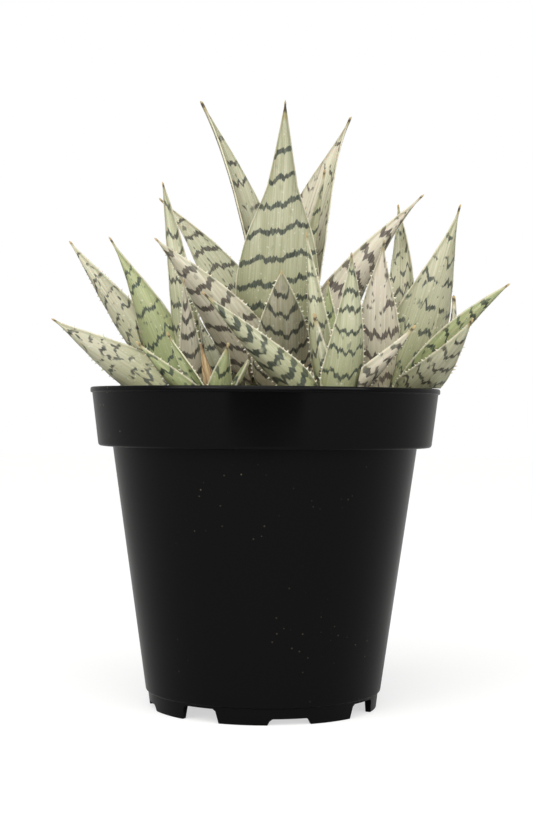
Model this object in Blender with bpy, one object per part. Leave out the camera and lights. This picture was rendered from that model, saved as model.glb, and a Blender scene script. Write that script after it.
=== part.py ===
"""Potted aloe: a clump of spotted rosettes in a round nursery pot, built at real size.

World frame: metres, +Z up, the front of the pot looks along -Y, the pot axis is the Z axis.
Every length below is written in millimetres and every angle in degrees, then converted once.
"""
import math
import random

import bmesh
import bpy
from mathutils import Matrix, Vector

MM = 0.001

# Pot: a moulded 15 cm nursery pot with a deep rim band and a castellated foot
POT_HEIGHT = 136.0
POT_SEGMENTS = 44
LIP_RADIUS = 75.0
LIP_DEPTH = 2.4
BAND_TOP_RADIUS = 74.2
BAND_FOOT_RADIUS = 71.4
BAND_FOOT_Z = 111.0
BODY_TOP_RADIUS = 65.3
BODY_FOOT_RADIUS = 50.4
BODY_FOOT_Z = 7.3
FOOT_RING_RADIUS = 49.4
FOOT_TIP_RADIUS = 48.6
WALL = 1.5
FOOT_RING_WALL = 2.4
FLOOR_UNDERSIDE_Z = 6.4
FLOOR_TOP_Z = 8.0
EDGE_ROUND = 0.6

# Foot openings, measured round the pot from the front, positive to the right
DRAIN_NOTCH_FIRST = -32.0
DRAIN_NOTCH_WIDTH = 15.0
DRAIN_NOTCH_HEIGHT = 5.9
SHALLOW_GAP_FIRST = 13.0
SHALLOW_GAP_WIDTH = 16.0
SHALLOW_GAP_HEIGHT = 2.6
NOTCH_SLANT = 1.6
NOTCHES_ROUND = 4
DRAIN_HOLE_INNER = 33.0
DRAIN_HOLE_OUTER = 44.0
DRAIN_HOLE_WIDTH = 10.0

# Growing mix and the air left between pieces that touch
SOIL_TOP_Z = 122.0
SOIL_EDGE_DROP = 1.5
SOIL_LEVEL_SHARE = 0.8
STEM_HOLE_DEPTH = 14.0
GAP = 0.3

# Stems: each rosette sits on a short tapering stem; centre x, centre y, top height, foot radius
STEM_SIDES = 10
STEM_TOP_SHARE = 0.55
STEM_CROWN_SHARE = 0.28
STEMS = {
    "main": (8.0, 12.0, 150.0, 8.0),
    "left": (-31.0, 4.0, 142.0, 6.5),
    "right": (53.0, 4.0, 142.0, 6.5),
    "front": (27.0, -36.0, 138.0, 5.5),
    "front_left": (-20.0, -40.0, 132.0, 4.0),
    "back_left": (-14.0, 46.0, 136.0, 5.0),
    "back_right": (34.0, 44.0, 136.0, 5.0),
}

# Leaf sections: eight points round, from the left margin over the channel to the right margin
MARGIN_THICKNESS = 1.0
TIP_THICKNESS = 1.1
TIP_HALF_WIDTH = 0.8
BASE_WIDTH_SHARE = 0.6
SHOULDER_AT = 0.26
KEEL_AT = 0.58
KEEL_DEPTH = 0.8
TEETH_FROM = 0.10
TEETH_TO = 0.94
TOOTH_SPREAD = 0.35
STATIONS = {"large": 14, "medium": 11, "small": 8}

# A clearance is a plainer, slightly larger copy of a leaf that trims the leaves behind it
CLEARANCE_STATIONS = 9
TOUCHING = 0.0002
CLEARANCE_GROWTHS = (0.55, 0.58, 0.61, 0.64, 0.67, 0.70)
CLEAR_BLOCK_WIDTH = 200.0
CLEAR_BLOCK_DEPTH = 30.0
CUTTER_OVERRUN = 1.0

# Faces that meet more steeply than this keep a sharp edge
SHARP_FROM = 35.0


class Leaf:
    """One leaf: where it grows, where its tip is, and the shape of its blade."""

    def __init__(self, stem, side, foot, tip, width, thick, face=None, bow=0.0, sway=0.0,
                 taper=(0.85, 1.1), point=0.0, channel=0.12, tooth=0.9, size="large",
                 finish="leaf_pale"):
        self.stem = stem          # key into STEMS
        self.side = side          # side of the stem it grows on, 0 front, 90 right, 180 back
        self.foot = foot          # distance of its foot from the stem axis, and foot height
        self.tip = tip            # x, y, z of the point
        self.width = width        # widest part
        self.thick = thick        # thickness at the foot
        self.face = side if face is None else face    # where its underside looks
        self.bow = bow            # how far the middle hangs out below a straight line
        self.sway = sway          # how far the middle lies to the side
        self.taper = taper        # share of the length that tapers, and how hollow the taper is
        self.point = point        # how fast the slender point widens, 0 for a plain taper
        self.channel = channel    # depth of the upper channel as a share of the width
        self.tooth = tooth        # height of the marginal teeth
        self.size = size          # how many stations the blade is built from
        self.finish = finish      # name of its colouring


# Leaves in the order in which they lie over one another, front ones first
LEAVES = {
    "leaf_front_long": Leaf("front", -80, (4, 128), (-25.3, -57, 173), 14, 6, face=-15, bow=1),
    "leaf_front_broad": Leaf("front", 15, (4, 125), (34, -52, 189.5), 18.5, 7, face=5, bow=2,
                             sway=2.1, taper=(1.0, 1.0)),
    "leaf_front_right": Leaf("front", 95, (3, 129), (59.5, -55, 160.5), 10, 5, face=30, bow=2,
                             size="medium", finish="leaf_blush"),
    "leaf_front_narrow": Leaf("front", -135, (3, 130), (16.5, -24, 200.5), 11, 6, face=-20,
                              bow=1, channel=0.3, size="medium"),
    "leaf_front_back": Leaf("front", 170, (2, 131), (26, -18, 181), 12, 6, size="medium",
                            finish="leaf_green"),
    "leaf_front_heart": Leaf("front", -60, (1, 133), (19.5, -37, 166), 7, 3.5, size="small"),
    "leaf_young_left": Leaf("front_left", -75, (3, 126), (-51, -59, 153), 9, 4, face=-20,
                            bow=2, channel=0.2, size="medium", finish="leaf_green"),
    "leaf_young_fold": Leaf("front_left", 15, (2, 124), (-14.7, -57, 152.7), 11, 4,
                            channel=0.45, tooth=0.6, size="small", finish="leaf_green"),
    "leaf_young_thin": Leaf("front_left", 110, (2.5, 125), (-5, -44, 149), 6, 3, size="small",
                            finish="leaf_green", tooth=0.5),
    "leaf_young_channel": Leaf("front_left", -125, (2, 128), (-40, -38, 158), 7, 3.5,
                               face=150, channel=0.4, size="small", finish="leaf_green"),
    "leaf_young_dry": Leaf("front_left", 180, (2, 126), (-26.6, -34, 153.5), 6, 2.4,
                           size="small", finish="leaf_dry", tooth=0.4),
    "leaf_main_low": Leaf("main", 0, (6, 128), (6.4, -31, 184), 27, 8, bow=3,
                          taper=(0.75, 0.9), finish="leaf_blush"),
    "leaf_main_centre": Leaf("main", -50, (8.5, 134), (7.5, -9, 258.4), 36, 9, face=-4, bow=4,
                             sway=1.2, taper=(0.63, 2.4), point=1.26, channel=0.05, tooth=0.5),
    "leaf_right_front": Leaf("right", 30, (5, 128), (83.5, -46, 164), 18, 5.5, face=15, bow=3.5,
                             sway=1.7, size="medium"),
    "leaf_right_broad": Leaf("right", 50, (3.5, 132), (84.1, 4, 216.3), 30, 7, face=15, bow=2,
                             sway=0.9, taper=(0.85, 1.45), tooth=0.5),
    "leaf_right_green": Leaf("right", 72, (5, 128), (99.2, -38, 178.6), 12, 5, face=20, bow=0.5,
                             sway=-4.4, taper=(0.83, 0.9), tooth=0.6, size="medium",
                             finish="leaf_green"),
    "leaf_right_upright": Leaf("right", -40, (4, 130), (50, -9, 199.3), 19, 6, face=-5, bow=2,
                               sway=-1.9, taper=(0.66, 1.3), size="medium", finish="leaf_blush"),
    "leaf_main_left": Leaf("main", -55, (6, 132), (-46.4, -26, 197.4), 27, 7, face=-20, bow=2,
                           sway=4.5, taper=(0.89, 1.14), finish="leaf_blush"),
    "leaf_left_red": Leaf("left", 15, (4, 128), (-34.4, -25, 181), 11, 5, face=0, bow=2,
                          size="medium", finish="leaf_blush"),
    "leaf_left_low": Leaf("left", -95, (3.5, 129), (-96.7, 32, 167), 21.5, 7, face=-30, bow=2,
                          sway=0.0, taper=(0.85, 1.2)),
    "leaf_left_mid": Leaf("left", -100, (5, 130), (-69.3, 14, 202), 23, 7, face=-20, bow=0.7,
                          sway=2.7, taper=(0.93, 1.4), tooth=0.5, finish="leaf_green"),
    "leaf_left_tall": Leaf("left", -35, (3, 134), (-45.4, 4, 225), 13, 6, face=-10, sway=1.7,
                           taper=(0.86, 0.85), tooth=0.5),
    "leaf_left_back": Leaf("left", -135, (5, 132), (-89, 32, 202), 19, 7, face=-30, bow=2),
    "leaf_main_right": Leaf("main", 70, (6, 134), (68.6, 10, 221.3), 24.5, 7, face=15, bow=1.2,
                            sway=-6.5, taper=(0.92, 1.3), tooth=0.7, finish="leaf_blush"),
    "leaf_main_back_left": Leaf("main", -150, (4, 138), (-30, 24, 264), 23, 7, face=-140, bow=-6,
                                sway=-3.2, taper=(0.85, 1.4), channel=0.3, tooth=0.5),
    "leaf_main_back_right": Leaf("main", 140, (3, 142), (37.8, 32, 259), 29, 7, face=150, bow=-2,
                                 sway=5.1, taper=(0.71, 1.5), channel=0.35, tooth=0.5),
    "leaf_main_inner": Leaf("main", 85, (2, 142), (25.5, 10, 232), 12, 5, face=30, tooth=0.5,
                            size="medium", finish="leaf_blush"),
    "leaf_main_far_left": Leaf("main", -110, (4, 134), (-47.8, 22, 220.4), 22, 7, face=175, bow=0.5,
                               sway=-6.4, taper=(0.7, 1.36), tooth=0.6),
    "leaf_right_tall": Leaf("right", 165, (3, 132), (58.5, 22, 218.4), 16, 6, bow=0.5, sway=-3.7,
                            taper=(0.84, 0.95), channel=0.35, tooth=0.5),
    "leaf_right_curled": Leaf("right", 105, (4, 130), (85, 34, 179), 11, 5, bow=9, sway=-0.6,
                              size="medium", finish="leaf_blush"),
    "leaf_main_rear": Leaf("main", 178, (6, 131), (10, 42, 228), 26, 8, bow=2),
    "leaf_main_rear_right": Leaf("main", 150, (6, 130), (44, 62, 197), 20, 7, bow=4),
    "leaf_main_rear_left": Leaf("main", -150, (6, 130), (-24, 62, 195), 20, 7, bow=4),
    "leaf_left_rear": Leaf("left", -150, (0, 131), (-62, 48, 178), 16, 6, bow=3, size="medium"),
    "leaf_left_inner": Leaf("left", 170, (3, 132), (-38, 38, 194), 15, 6, bow=1,
                            size="medium", finish="leaf_blush"),
    "leaf_right_rear": Leaf("right", 150, (5, 128), (72, 52, 179), 16, 6, bow=3,
                            size="medium"),
    "leaf_back_left_low": Leaf("back_left", -115, (3, 128), (-54, 58, 163), 13, 5, bow=3,
                               size="medium", finish="leaf_green"),
    "leaf_back_left_out": Leaf("back_left", -155, (3, 127), (-34, 72, 174), 14, 5, bow=3,
                               size="medium"),
    "leaf_back_left_tall": Leaf("back_left", -60, (1, 131), (-20, 52, 192), 13, 5,
                                size="medium"),
    "leaf_back_left_mid": Leaf("back_left", 170, (3, 127), (-9, 73, 184), 14, 5, bow=3,
                               size="medium", finish="leaf_blush"),
    "leaf_back_left_right": Leaf("back_left", 115, (3, 126), (14, 71, 168), 12, 5, bow=3,
                                 size="medium"),
    "leaf_back_right_low": Leaf("back_right", 110, (3, 129), (73, 60, 165), 13, 5, bow=3,
                                size="medium"),
    "leaf_back_right_out": Leaf("back_right", 150, (3, 128), (56, 72, 177), 14, 5, bow=3,
                                size="medium", finish="leaf_green"),
    "leaf_back_right_tall": Leaf("back_right", 30, (1, 131), (40, 50, 187), 13, 5,
                                 size="medium", finish="leaf_blush"),
    "leaf_back_right_mid": Leaf("back_right", -170, (3, 127), (32, 73, 185), 14, 5, bow=3,
                                size="medium"),
}

# Finishes: colour, roughness
FINISHES = {
    "pot_black": ((0.012, 0.012, 0.013), 0.38),
    "soil_mix": ((0.055, 0.040, 0.028), 0.95),
    "stem_green": ((0.30, 0.33, 0.20), 0.60),
    "leaf_pale": ((0.50, 0.52, 0.38), 0.48),
    "leaf_green": ((0.30, 0.40, 0.20), 0.48),
    "leaf_blush": ((0.52, 0.45, 0.36), 0.48),
    "leaf_dry": ((0.30, 0.16, 0.07), 0.75),
}


def clear_scene():
    for old in list(bpy.data.objects):
        bpy.data.objects.remove(old, do_unlink=True)


def finish_material(name):
    known = bpy.data.materials.get(name)
    if known:
        return known
    colour, roughness = FINISHES[name]
    material = bpy.data.materials.new(name)
    material.use_nodes = True
    shader = material.node_tree.nodes["Principled BSDF"]
    shader.inputs["Base Color"].default_value = (*colour, 1.0)
    shader.inputs["Roughness"].default_value = roughness
    shader.inputs["Metallic"].default_value = 0.0
    return material


def add_object(name, bm, finish):
    """Turn a bmesh in millimetres into a named object in metres."""
    bmesh.ops.scale(bm, vec=Vector((MM, MM, MM)), verts=bm.verts)
    bmesh.ops.recalc_face_normals(bm, faces=bm.faces)
    mesh = bpy.data.meshes.new(name)
    bm.to_mesh(mesh)
    bm.free()
    piece = bpy.data.objects.new(name, mesh)
    bpy.context.scene.collection.objects.link(piece)
    mesh.materials.append(finish_material(finish))
    return piece


def apply_modifiers(piece):
    """Replace the piece's mesh with its evaluated form and drop the modifiers."""
    scene_now = bpy.context.evaluated_depsgraph_get()
    mesh = bpy.data.meshes.new_from_object(piece.evaluated_get(scene_now))
    piece.modifiers.clear()
    old = piece.data
    piece.data = mesh
    bpy.data.meshes.remove(old)


def cut_away(piece, cutters, solver="EXACT"):
    """Cut every object of the list out of the piece, then remove them."""
    group = bpy.data.collections.new("cutters")
    bpy.context.scene.collection.children.link(group)
    for cutter in cutters:
        bpy.context.scene.collection.objects.unlink(cutter)
        group.objects.link(cutter)
    cut = piece.modifiers.new("cut", "BOOLEAN")
    cut.operation = "DIFFERENCE"
    cut.operand_type = "COLLECTION"
    cut.collection = group
    cut.solver = solver
    apply_modifiers(piece)
    for cutter in cutters:
        bpy.data.objects.remove(cutter, do_unlink=True)
    bpy.data.collections.remove(group)


def shade_round(piece):
    """Shade the piece smooth and keep its steep edges crisp."""
    piece.data.shade_smooth()
    piece.data.set_sharp_from_angle(angle=math.radians(SHARP_FROM))


def revolve(name, outline, segments, finish):
    """Turn a closed outline of (radius, height) points about the Z axis."""
    bm = bmesh.new()
    rings = []
    for radius, height in outline:
        if radius == 0.0:
            rings.append([bm.verts.new((0.0, 0.0, height))])
            continue
        ring = []
        for step in range(segments):
            angle = 2.0 * math.pi * step / segments
            ring.append(bm.verts.new((radius * math.cos(angle), radius * math.sin(angle), height)))
        rings.append(ring)
    for upper, lower in zip(rings, rings[1:] + rings[:1]):
        join_rings(bm, upper, lower)
    return add_object(name, bm, finish)


def join_rings(bm, first, second):
    """Fill between two rings of points; a ring of one point makes a fan."""
    if len(first) == 1 and len(second) == 1:
        return
    count = max(len(first), len(second))
    for step in range(count):
        after = (step + 1) % count
        if len(first) == 1:
            bm.faces.new((first[0], second[after], second[step]))
        elif len(second) == 1:
            bm.faces.new((first[step], first[after], second[0]))
        else:
            bm.faces.new((first[step], first[after], second[after], second[step]))


def wall_radius(height):
    """Outer radius of the tapering body at a height."""
    share = (height - BODY_FOOT_Z) / (BAND_FOOT_Z - BODY_FOOT_Z)
    return BODY_FOOT_RADIUS + share * (BODY_TOP_RADIUS - BODY_FOOT_RADIUS)


def notch_cutter(angle, inner, outer, width, low, high, slant):
    """A prism whose sides lean out downwards, set radially at an angle round the foot."""
    bm = bmesh.new()
    corners = []
    for radius in (inner, outer):
        for side, height in ((-1, low), (1, low), (1, high), (-1, high)):
            half = width / 2.0 + (slant if height == low else 0.0)
            corners.append(bm.verts.new((side * half, -radius, height)))
    near, far = corners[:4], corners[4:]
    bm.faces.new(near)
    bm.faces.new(far)
    for step in range(4):
        after = (step + 1) % 4
        bm.faces.new((near[step], near[after], far[after], far[step]))
    bmesh.ops.rotate(bm, matrix=Matrix.Rotation(math.radians(angle), 3, "Z"), verts=bm.verts)
    return add_object("notch", bm, "pot_black")


def pot_inner_radius(height):
    """Inner radius of the pot wall at a height above the floor."""
    if height < BAND_FOOT_Z:
        return wall_radius(height) - WALL
    share = (height - BAND_FOOT_Z) / (POT_HEIGHT - BAND_FOOT_Z)
    return BAND_FOOT_RADIUS + share * (BAND_TOP_RADIUS - BAND_FOOT_RADIUS) - WALL


def build_pot():
    lip_foot = POT_HEIGHT - LIP_DEPTH
    ledge = BAND_FOOT_Z + WALL
    outline = [
        (LIP_RADIUS - LIP_DEPTH, POT_HEIGHT),
        (LIP_RADIUS - EDGE_ROUND, POT_HEIGHT),
        (LIP_RADIUS, POT_HEIGHT - EDGE_ROUND),
        (LIP_RADIUS, lip_foot + EDGE_ROUND),
        (BAND_TOP_RADIUS, lip_foot),
        (BAND_FOOT_RADIUS, BAND_FOOT_Z + EDGE_ROUND),
        (BAND_FOOT_RADIUS - EDGE_ROUND, BAND_FOOT_Z),
        (BODY_TOP_RADIUS, BAND_FOOT_Z),
        (BODY_FOOT_RADIUS, BODY_FOOT_Z),
        (FOOT_RING_RADIUS, BODY_FOOT_Z - EDGE_ROUND),
        (FOOT_TIP_RADIUS, 0.0),
        (FOOT_TIP_RADIUS - FOOT_RING_WALL, 0.0),
        (FOOT_TIP_RADIUS - FOOT_RING_WALL, FLOOR_UNDERSIDE_Z),
        (0.0, FLOOR_UNDERSIDE_Z),
        (0.0, FLOOR_TOP_Z),
        (pot_inner_radius(FLOOR_TOP_Z), FLOOR_TOP_Z),
        (BODY_TOP_RADIUS - WALL, ledge),
        (BAND_FOOT_RADIUS - WALL, ledge),
    ]
    pot = revolve("pot", outline, POT_SEGMENTS, "pot_black")
    cutters = []
    for step in range(NOTCHES_ROUND):
        turn = step * 360.0 / NOTCHES_ROUND
        ring_inside = FOOT_TIP_RADIUS - 2.0 * FOOT_RING_WALL
        cutters.append(notch_cutter(DRAIN_NOTCH_FIRST + turn, ring_inside, LIP_RADIUS,
                                    DRAIN_NOTCH_WIDTH, -CUTTER_OVERRUN, DRAIN_NOTCH_HEIGHT,
                                    NOTCH_SLANT))
        cutters.append(notch_cutter(SHALLOW_GAP_FIRST + turn, ring_inside, LIP_RADIUS,
                                    SHALLOW_GAP_WIDTH, -CUTTER_OVERRUN, SHALLOW_GAP_HEIGHT,
                                    NOTCH_SLANT))
        cutters.append(notch_cutter(DRAIN_NOTCH_FIRST + turn, DRAIN_HOLE_INNER,
                                    DRAIN_HOLE_OUTER, DRAIN_HOLE_WIDTH,
                                    FLOOR_UNDERSIDE_Z - CUTTER_OVERRUN,
                                    FLOOR_TOP_Z + CUTTER_OVERRUN, 0.0))
    cut_away(pot, cutters)
    shade_round(pot)


def build_soil():
    """The growing mix fills the pot to just below the rim, with a plain hole for each stem."""
    foot = FLOOR_TOP_Z + GAP
    ledge = BAND_FOOT_Z + WALL + GAP
    edge = SOIL_TOP_Z - SOIL_EDGE_DROP
    outline = [
        (0.0, SOIL_TOP_Z),
        (pot_inner_radius(SOIL_TOP_Z) * SOIL_LEVEL_SHARE, SOIL_TOP_Z),
        (pot_inner_radius(edge) - GAP, edge),
        (pot_inner_radius(ledge) - GAP, ledge),
        (BODY_TOP_RADIUS - WALL - GAP, ledge),
        (pot_inner_radius(foot) - GAP, foot),
        (0.0, foot),
    ]
    soil = revolve("soil", outline, POT_SEGMENTS, "soil_mix")
    holes = []
    for centre_x, centre_y, top, radius in STEMS.values():
        low = SOIL_TOP_Z - STEM_HOLE_DEPTH
        holes.append(stem_solid("hole", centre_x, centre_y, radius + GAP, radius + GAP,
                                low, SOIL_TOP_Z + CUTTER_OVERRUN))
    cut_away(soil, holes)
    shade_round(soil)


def stem_solid(name, centre_x, centre_y, foot_radius, top_radius, low, high):
    """A tapering round solid that stands on its foot."""
    bm = bmesh.new()
    bmesh.ops.create_cone(bm, cap_ends=True, segments=STEM_SIDES, radius1=foot_radius,
                          radius2=top_radius, depth=high - low)
    bmesh.ops.translate(bm, vec=Vector((centre_x, centre_y, (low + high) / 2.0)),
                        verts=bm.verts)
    return add_object(name, bm, "stem_green")


def build_stem(key, grow=0.0):
    """A stem stands in its hole in the mix and tapers upwards; grown ones make clearances."""
    centre_x, centre_y, top, radius = STEMS[key]
    bm = bmesh.new()
    low = SOIL_TOP_Z - STEM_HOLE_DEPTH + GAP
    rings = []
    for radius_here, height in ((radius, low - grow), (radius, SOIL_TOP_Z),
                                (radius * STEM_TOP_SHARE, top - radius * STEM_TOP_SHARE),
                                (radius * STEM_CROWN_SHARE, top + grow)):
        ring = []
        for step in range(STEM_SIDES):
            angle = 2.0 * math.pi * (step + 0.5) / STEM_SIDES
            reach = radius_here + grow
            ring.append(bm.verts.new((centre_x + reach * math.cos(angle),
                                      centre_y + reach * math.sin(angle), height)))
        rings.append(ring)
    for lower, upper in zip(rings, rings[1:]):
        join_rings(bm, lower, upper)
    bm.faces.new(rings[0])
    bm.faces.new(rings[-1])
    return add_object("stem_" + key, bm, "stem_green")


def leaf_width_share(leaf, along):
    """Width of the blade as a share of its widest part, from foot (0) to tip (1)."""
    reach, hollow = leaf.taper
    from_tip = min(1.0, (1.0 - along) / reach)
    taper = math.sin(from_tip * math.pi / 2.0) ** hollow
    taper = max(taper, min(1.0, leaf.point * (1.0 - along)))
    shoulder = min(1.0, along / SHOULDER_AT)
    shoulder = shoulder * shoulder * (3.0 - 2.0 * shoulder)
    return taper * (BASE_WIDTH_SHARE + (1.0 - BASE_WIDTH_SHARE) * shoulder)


def leaf_line(leaf):
    """Foot, middle handle and tip of the leaf's centre line, and its outward direction."""
    centre_x, centre_y = STEMS[leaf.stem][:2]
    side = Matrix.Rotation(math.radians(leaf.side), 3, "Z") @ Vector((0.0, -1.0, 0.0))
    outward = Matrix.Rotation(math.radians(leaf.face), 3, "Z") @ Vector((0.0, -1.0, 0.0))
    out, up = leaf.foot
    foot = Vector((centre_x, centre_y, up)) + side * out
    tip = Vector(leaf.tip)
    along = (tip - foot).normalized()
    below = (outward - along * outward.dot(along)).normalized()
    beside = along.cross(below)
    handle = (foot + tip) / 2.0 + 2.0 * leaf.bow * below + 2.0 * leaf.sway * beside
    return foot, handle, tip, outward


def leaf_frame(leaf, line, along):
    """Point, sideways direction and upper-face direction at a share of the length."""
    foot, handle, tip, outward = line
    rest = 1.0 - along
    point = foot * rest * rest + handle * 2.0 * rest * along + tip * along * along
    heading = ((handle - foot) * rest + (tip - handle) * along).normalized()
    upper = -(outward - heading * outward.dot(heading)).normalized()
    beside = heading.cross(upper)
    return point, beside, upper


def leaf_section(leaf, line, along, wider, thicker):
    """Eight points round the blade: margins, channel, and the rounded underside."""
    point, beside, upper = leaf_frame(leaf, line, along)
    half = max(TIP_HALF_WIDTH, leaf.width / 2.0 * leaf_width_share(leaf, along))
    rise = leaf.channel * (half + wider)
    thick = TIP_THICKNESS + (leaf.thick - TIP_THICKNESS) * (1.0 - along)
    thick = min(thick, TIP_THICKNESS + half)
    edge = MARGIN_THICKNESS / 2.0 + thicker
    half += wider
    places = (
        (-half, rise + edge),
        (0.0, thicker),
        (half, rise + edge),
        (half, rise - edge),
        (half * KEEL_AT, -thick * KEEL_DEPTH - thicker),
        (0.0, -thick - thicker),
        (-half * KEEL_AT, -thick * KEEL_DEPTH - thicker),
        (-half, rise - edge),
    )
    lift = thick / 2.0
    return [point + beside * across + upper * (height + lift) for across, height in places]


def build_leaf(name, leaf):
    """Loft the blade from foot to tip, with a tooth on each stretch of both margins."""
    line = leaf_line(leaf)
    stations = STATIONS[leaf.size]
    chance = random.Random(name)
    bm, rings = loft_blade(leaf, line, stations, 0.0, 0.0)
    for step in range(stations - 1):
        along = (step + 0.5) / (stations - 0.5)
        with_teeth = TEETH_FROM < along < TEETH_TO
        for place in range(8):
            after = (place + 1) % 8
            corners = (rings[step][place], rings[step][after],
                       rings[step + 1][after], rings[step + 1][place])
            if place in (2, 7) and with_teeth:
                height = leaf.tooth * (1.0 + TOOTH_SPREAD * chance.uniform(-1.0, 1.0))
                outwards = leaf_frame(leaf, line, along)[1] * (1 if place == 2 else -1)
                add_tooth(bm, corners, outwards * height)
            else:
                bm.faces.new(corners)
    bmesh.ops.triangulate(bm, faces=bm.faces)
    return add_object(name, bm, leaf.finish)


def build_clearance(leaf, growth):
    """The room that a leaf and its teeth keep to themselves."""
    line = leaf_line(leaf)
    wider = leaf.tooth * (1.0 + TOOTH_SPREAD) + growth
    bm, rings = loft_blade(leaf, line, CLEARANCE_STATIONS, wider, growth)
    for lower, upper in zip(rings, rings[1:]):
        join_rings(bm, lower, upper)
    bmesh.ops.triangulate(bm, faces=bm.faces)
    return add_object("clearance", bm, leaf.finish)


def loft_blade(leaf, line, stations, wider, thicker):
    """Set out the rings of a blade and close its foot and its point."""
    bm = bmesh.new()
    rings = []
    for step in range(stations):
        section = leaf_section(leaf, line, step / (stations - 0.5), wider, thicker)
        rings.append([bm.verts.new(place) for place in section])
    foot, handle, tip, outward = line
    point = bm.verts.new(tip + (tip - handle).normalized() * (TIP_HALF_WIDTH + thicker))
    join_rings(bm, rings[-1], [point])
    bm.faces.new(rings[0])
    return bm, rings


def add_tooth(bm, corners, reach):
    """Close a stretch of margin with a four-sided tooth instead of a flat face."""
    middle = sum((corner.co for corner in corners), Vector()) / 4.0
    apex = bm.verts.new(middle + reach)
    for first, second in zip(corners, corners[1:] + corners[:1]):
        bm.faces.new((first, second, apex))


def near_each_other(first, second, margin):
    """Whether two leaves' boxes come within a margin of one another."""
    for axis in range(3):
        first_low = min(corner[axis] for corner in first.bound_box)
        first_high = max(corner[axis] for corner in first.bound_box)
        second_low = min(corner[axis] for corner in second.bound_box)
        second_high = max(corner[axis] for corner in second.bound_box)
        if first_low > second_high + margin or second_low > first_high + margin:
            return False
    return True


def lip_clearance():
    """The room that the lip of the pot needs under the leaves that pass over it."""
    outline = [
        (LIP_RADIUS - LIP_DEPTH - GAP - EDGE_ROUND, POT_HEIGHT + GAP),
        (LIP_RADIUS + GAP, POT_HEIGHT + GAP),
        (LIP_RADIUS + GAP, BAND_FOOT_Z),
        (BAND_FOOT_RADIUS - WALL - GAP - EDGE_ROUND, BAND_FOOT_Z),
    ]
    return revolve("clearance", outline, POT_SEGMENTS, "pot_black")


def soil_clearance():
    """A flat block that keeps the leaves clear of the top of the mix."""
    bm = bmesh.new()
    bmesh.ops.create_cube(bm, size=1.0)
    size = Vector((CLEAR_BLOCK_WIDTH, CLEAR_BLOCK_WIDTH, CLEAR_BLOCK_DEPTH))
    bmesh.ops.scale(bm, vec=size, verts=bm.verts)
    middle = SOIL_TOP_Z + GAP - CLEAR_BLOCK_DEPTH / 2.0
    bmesh.ops.translate(bm, vec=Vector((0.0, 0.0, middle)), verts=bm.verts)
    return add_object("clearance", bm, "soil_mix")


def keep_largest(piece):
    """Keep only the largest closed body of a trimmed leaf; tell whether it is sound."""
    bm = bmesh.new()
    bm.from_mesh(piece.data)
    left = set(bm.verts)
    bodies = []
    while left:
        body = set()
        edge_of_search = [left.pop()]
        while edge_of_search:
            vert = edge_of_search.pop()
            body.add(vert)
            for link in vert.link_edges:
                other = link.other_vert(vert)
                if other in left:
                    left.remove(other)
                    edge_of_search.append(other)
        bodies.append(body)
    bodies.sort(key=len)
    for body in bodies[:-1]:
        bmesh.ops.delete(bm, geom=list(body), context="VERTS")
    passed_through = [vert for vert in bm.verts if len(vert.link_edges) == 2]
    bmesh.ops.dissolve_verts(bm, verts=passed_through)
    bmesh.ops.triangulate(bm, faces=bm.faces)
    sound = is_sound(bm)
    bm.to_mesh(piece.data)
    bm.free()
    return sound


def is_sound(bm):
    """Whether each edge has two faces, also when points that all but touch are taken as one."""
    faces_at = {}
    for face in bm.faces:
        places = [tuple(round(value / (TOUCHING * MM)) for value in vert.co)
                  for vert in face.verts]
        if len(set(places)) == len(places):
            for first, second in zip(places, places[1:] + places[:1]):
                ends = frozenset((first, second))
                faces_at[ends] = faces_at.get(ends, 0) + 1
    return all(count == 2 for count in faces_at.values())


def trimmed_leaf(name, leaf, earlier, growth):
    """Build a leaf and cut away what lies in the mix, in a stem or in an earlier leaf."""
    piece = build_leaf(name, leaf)
    cutters = [soil_clearance(), lip_clearance()]
    for key in STEMS:
        cutters.append(build_stem(key, grow=GAP + growth - CLEARANCE_GROWTHS[0]))
    for other in earlier:
        cutters.append(build_clearance(other, growth))
    for cutter in list(cutters):
        if not near_each_other(piece, cutter, 0.0):
            cutters.remove(cutter)
            bpy.data.objects.remove(cutter, do_unlink=True)
    cut_away(piece, cutters, solver="MANIFOLD")
    return piece, keep_largest(piece)


def build_leaves():
    """Build the leaves in order; each is trimmed to lie against the stems and earlier leaves."""
    earlier = []
    for name, leaf in LEAVES.items():
        for growth in CLEARANCE_GROWTHS:
            piece, sound = trimmed_leaf(name, leaf, earlier, growth)
            if sound:
                shade_round(piece)
                break
            bpy.data.objects.remove(piece, do_unlink=True)
        else:
            raise RuntimeError(name + " has no sound trimmed form: move its foot a little")
        earlier.append(leaf)


def main():
    clear_scene()
    build_pot()
    build_soil()
    for key in STEMS:
        shade_round(build_stem(key))
    build_leaves()


main()
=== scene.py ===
import math
import random

import bmesh
import bpy
import numpy as np
from mathutils import Matrix, Vector


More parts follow.
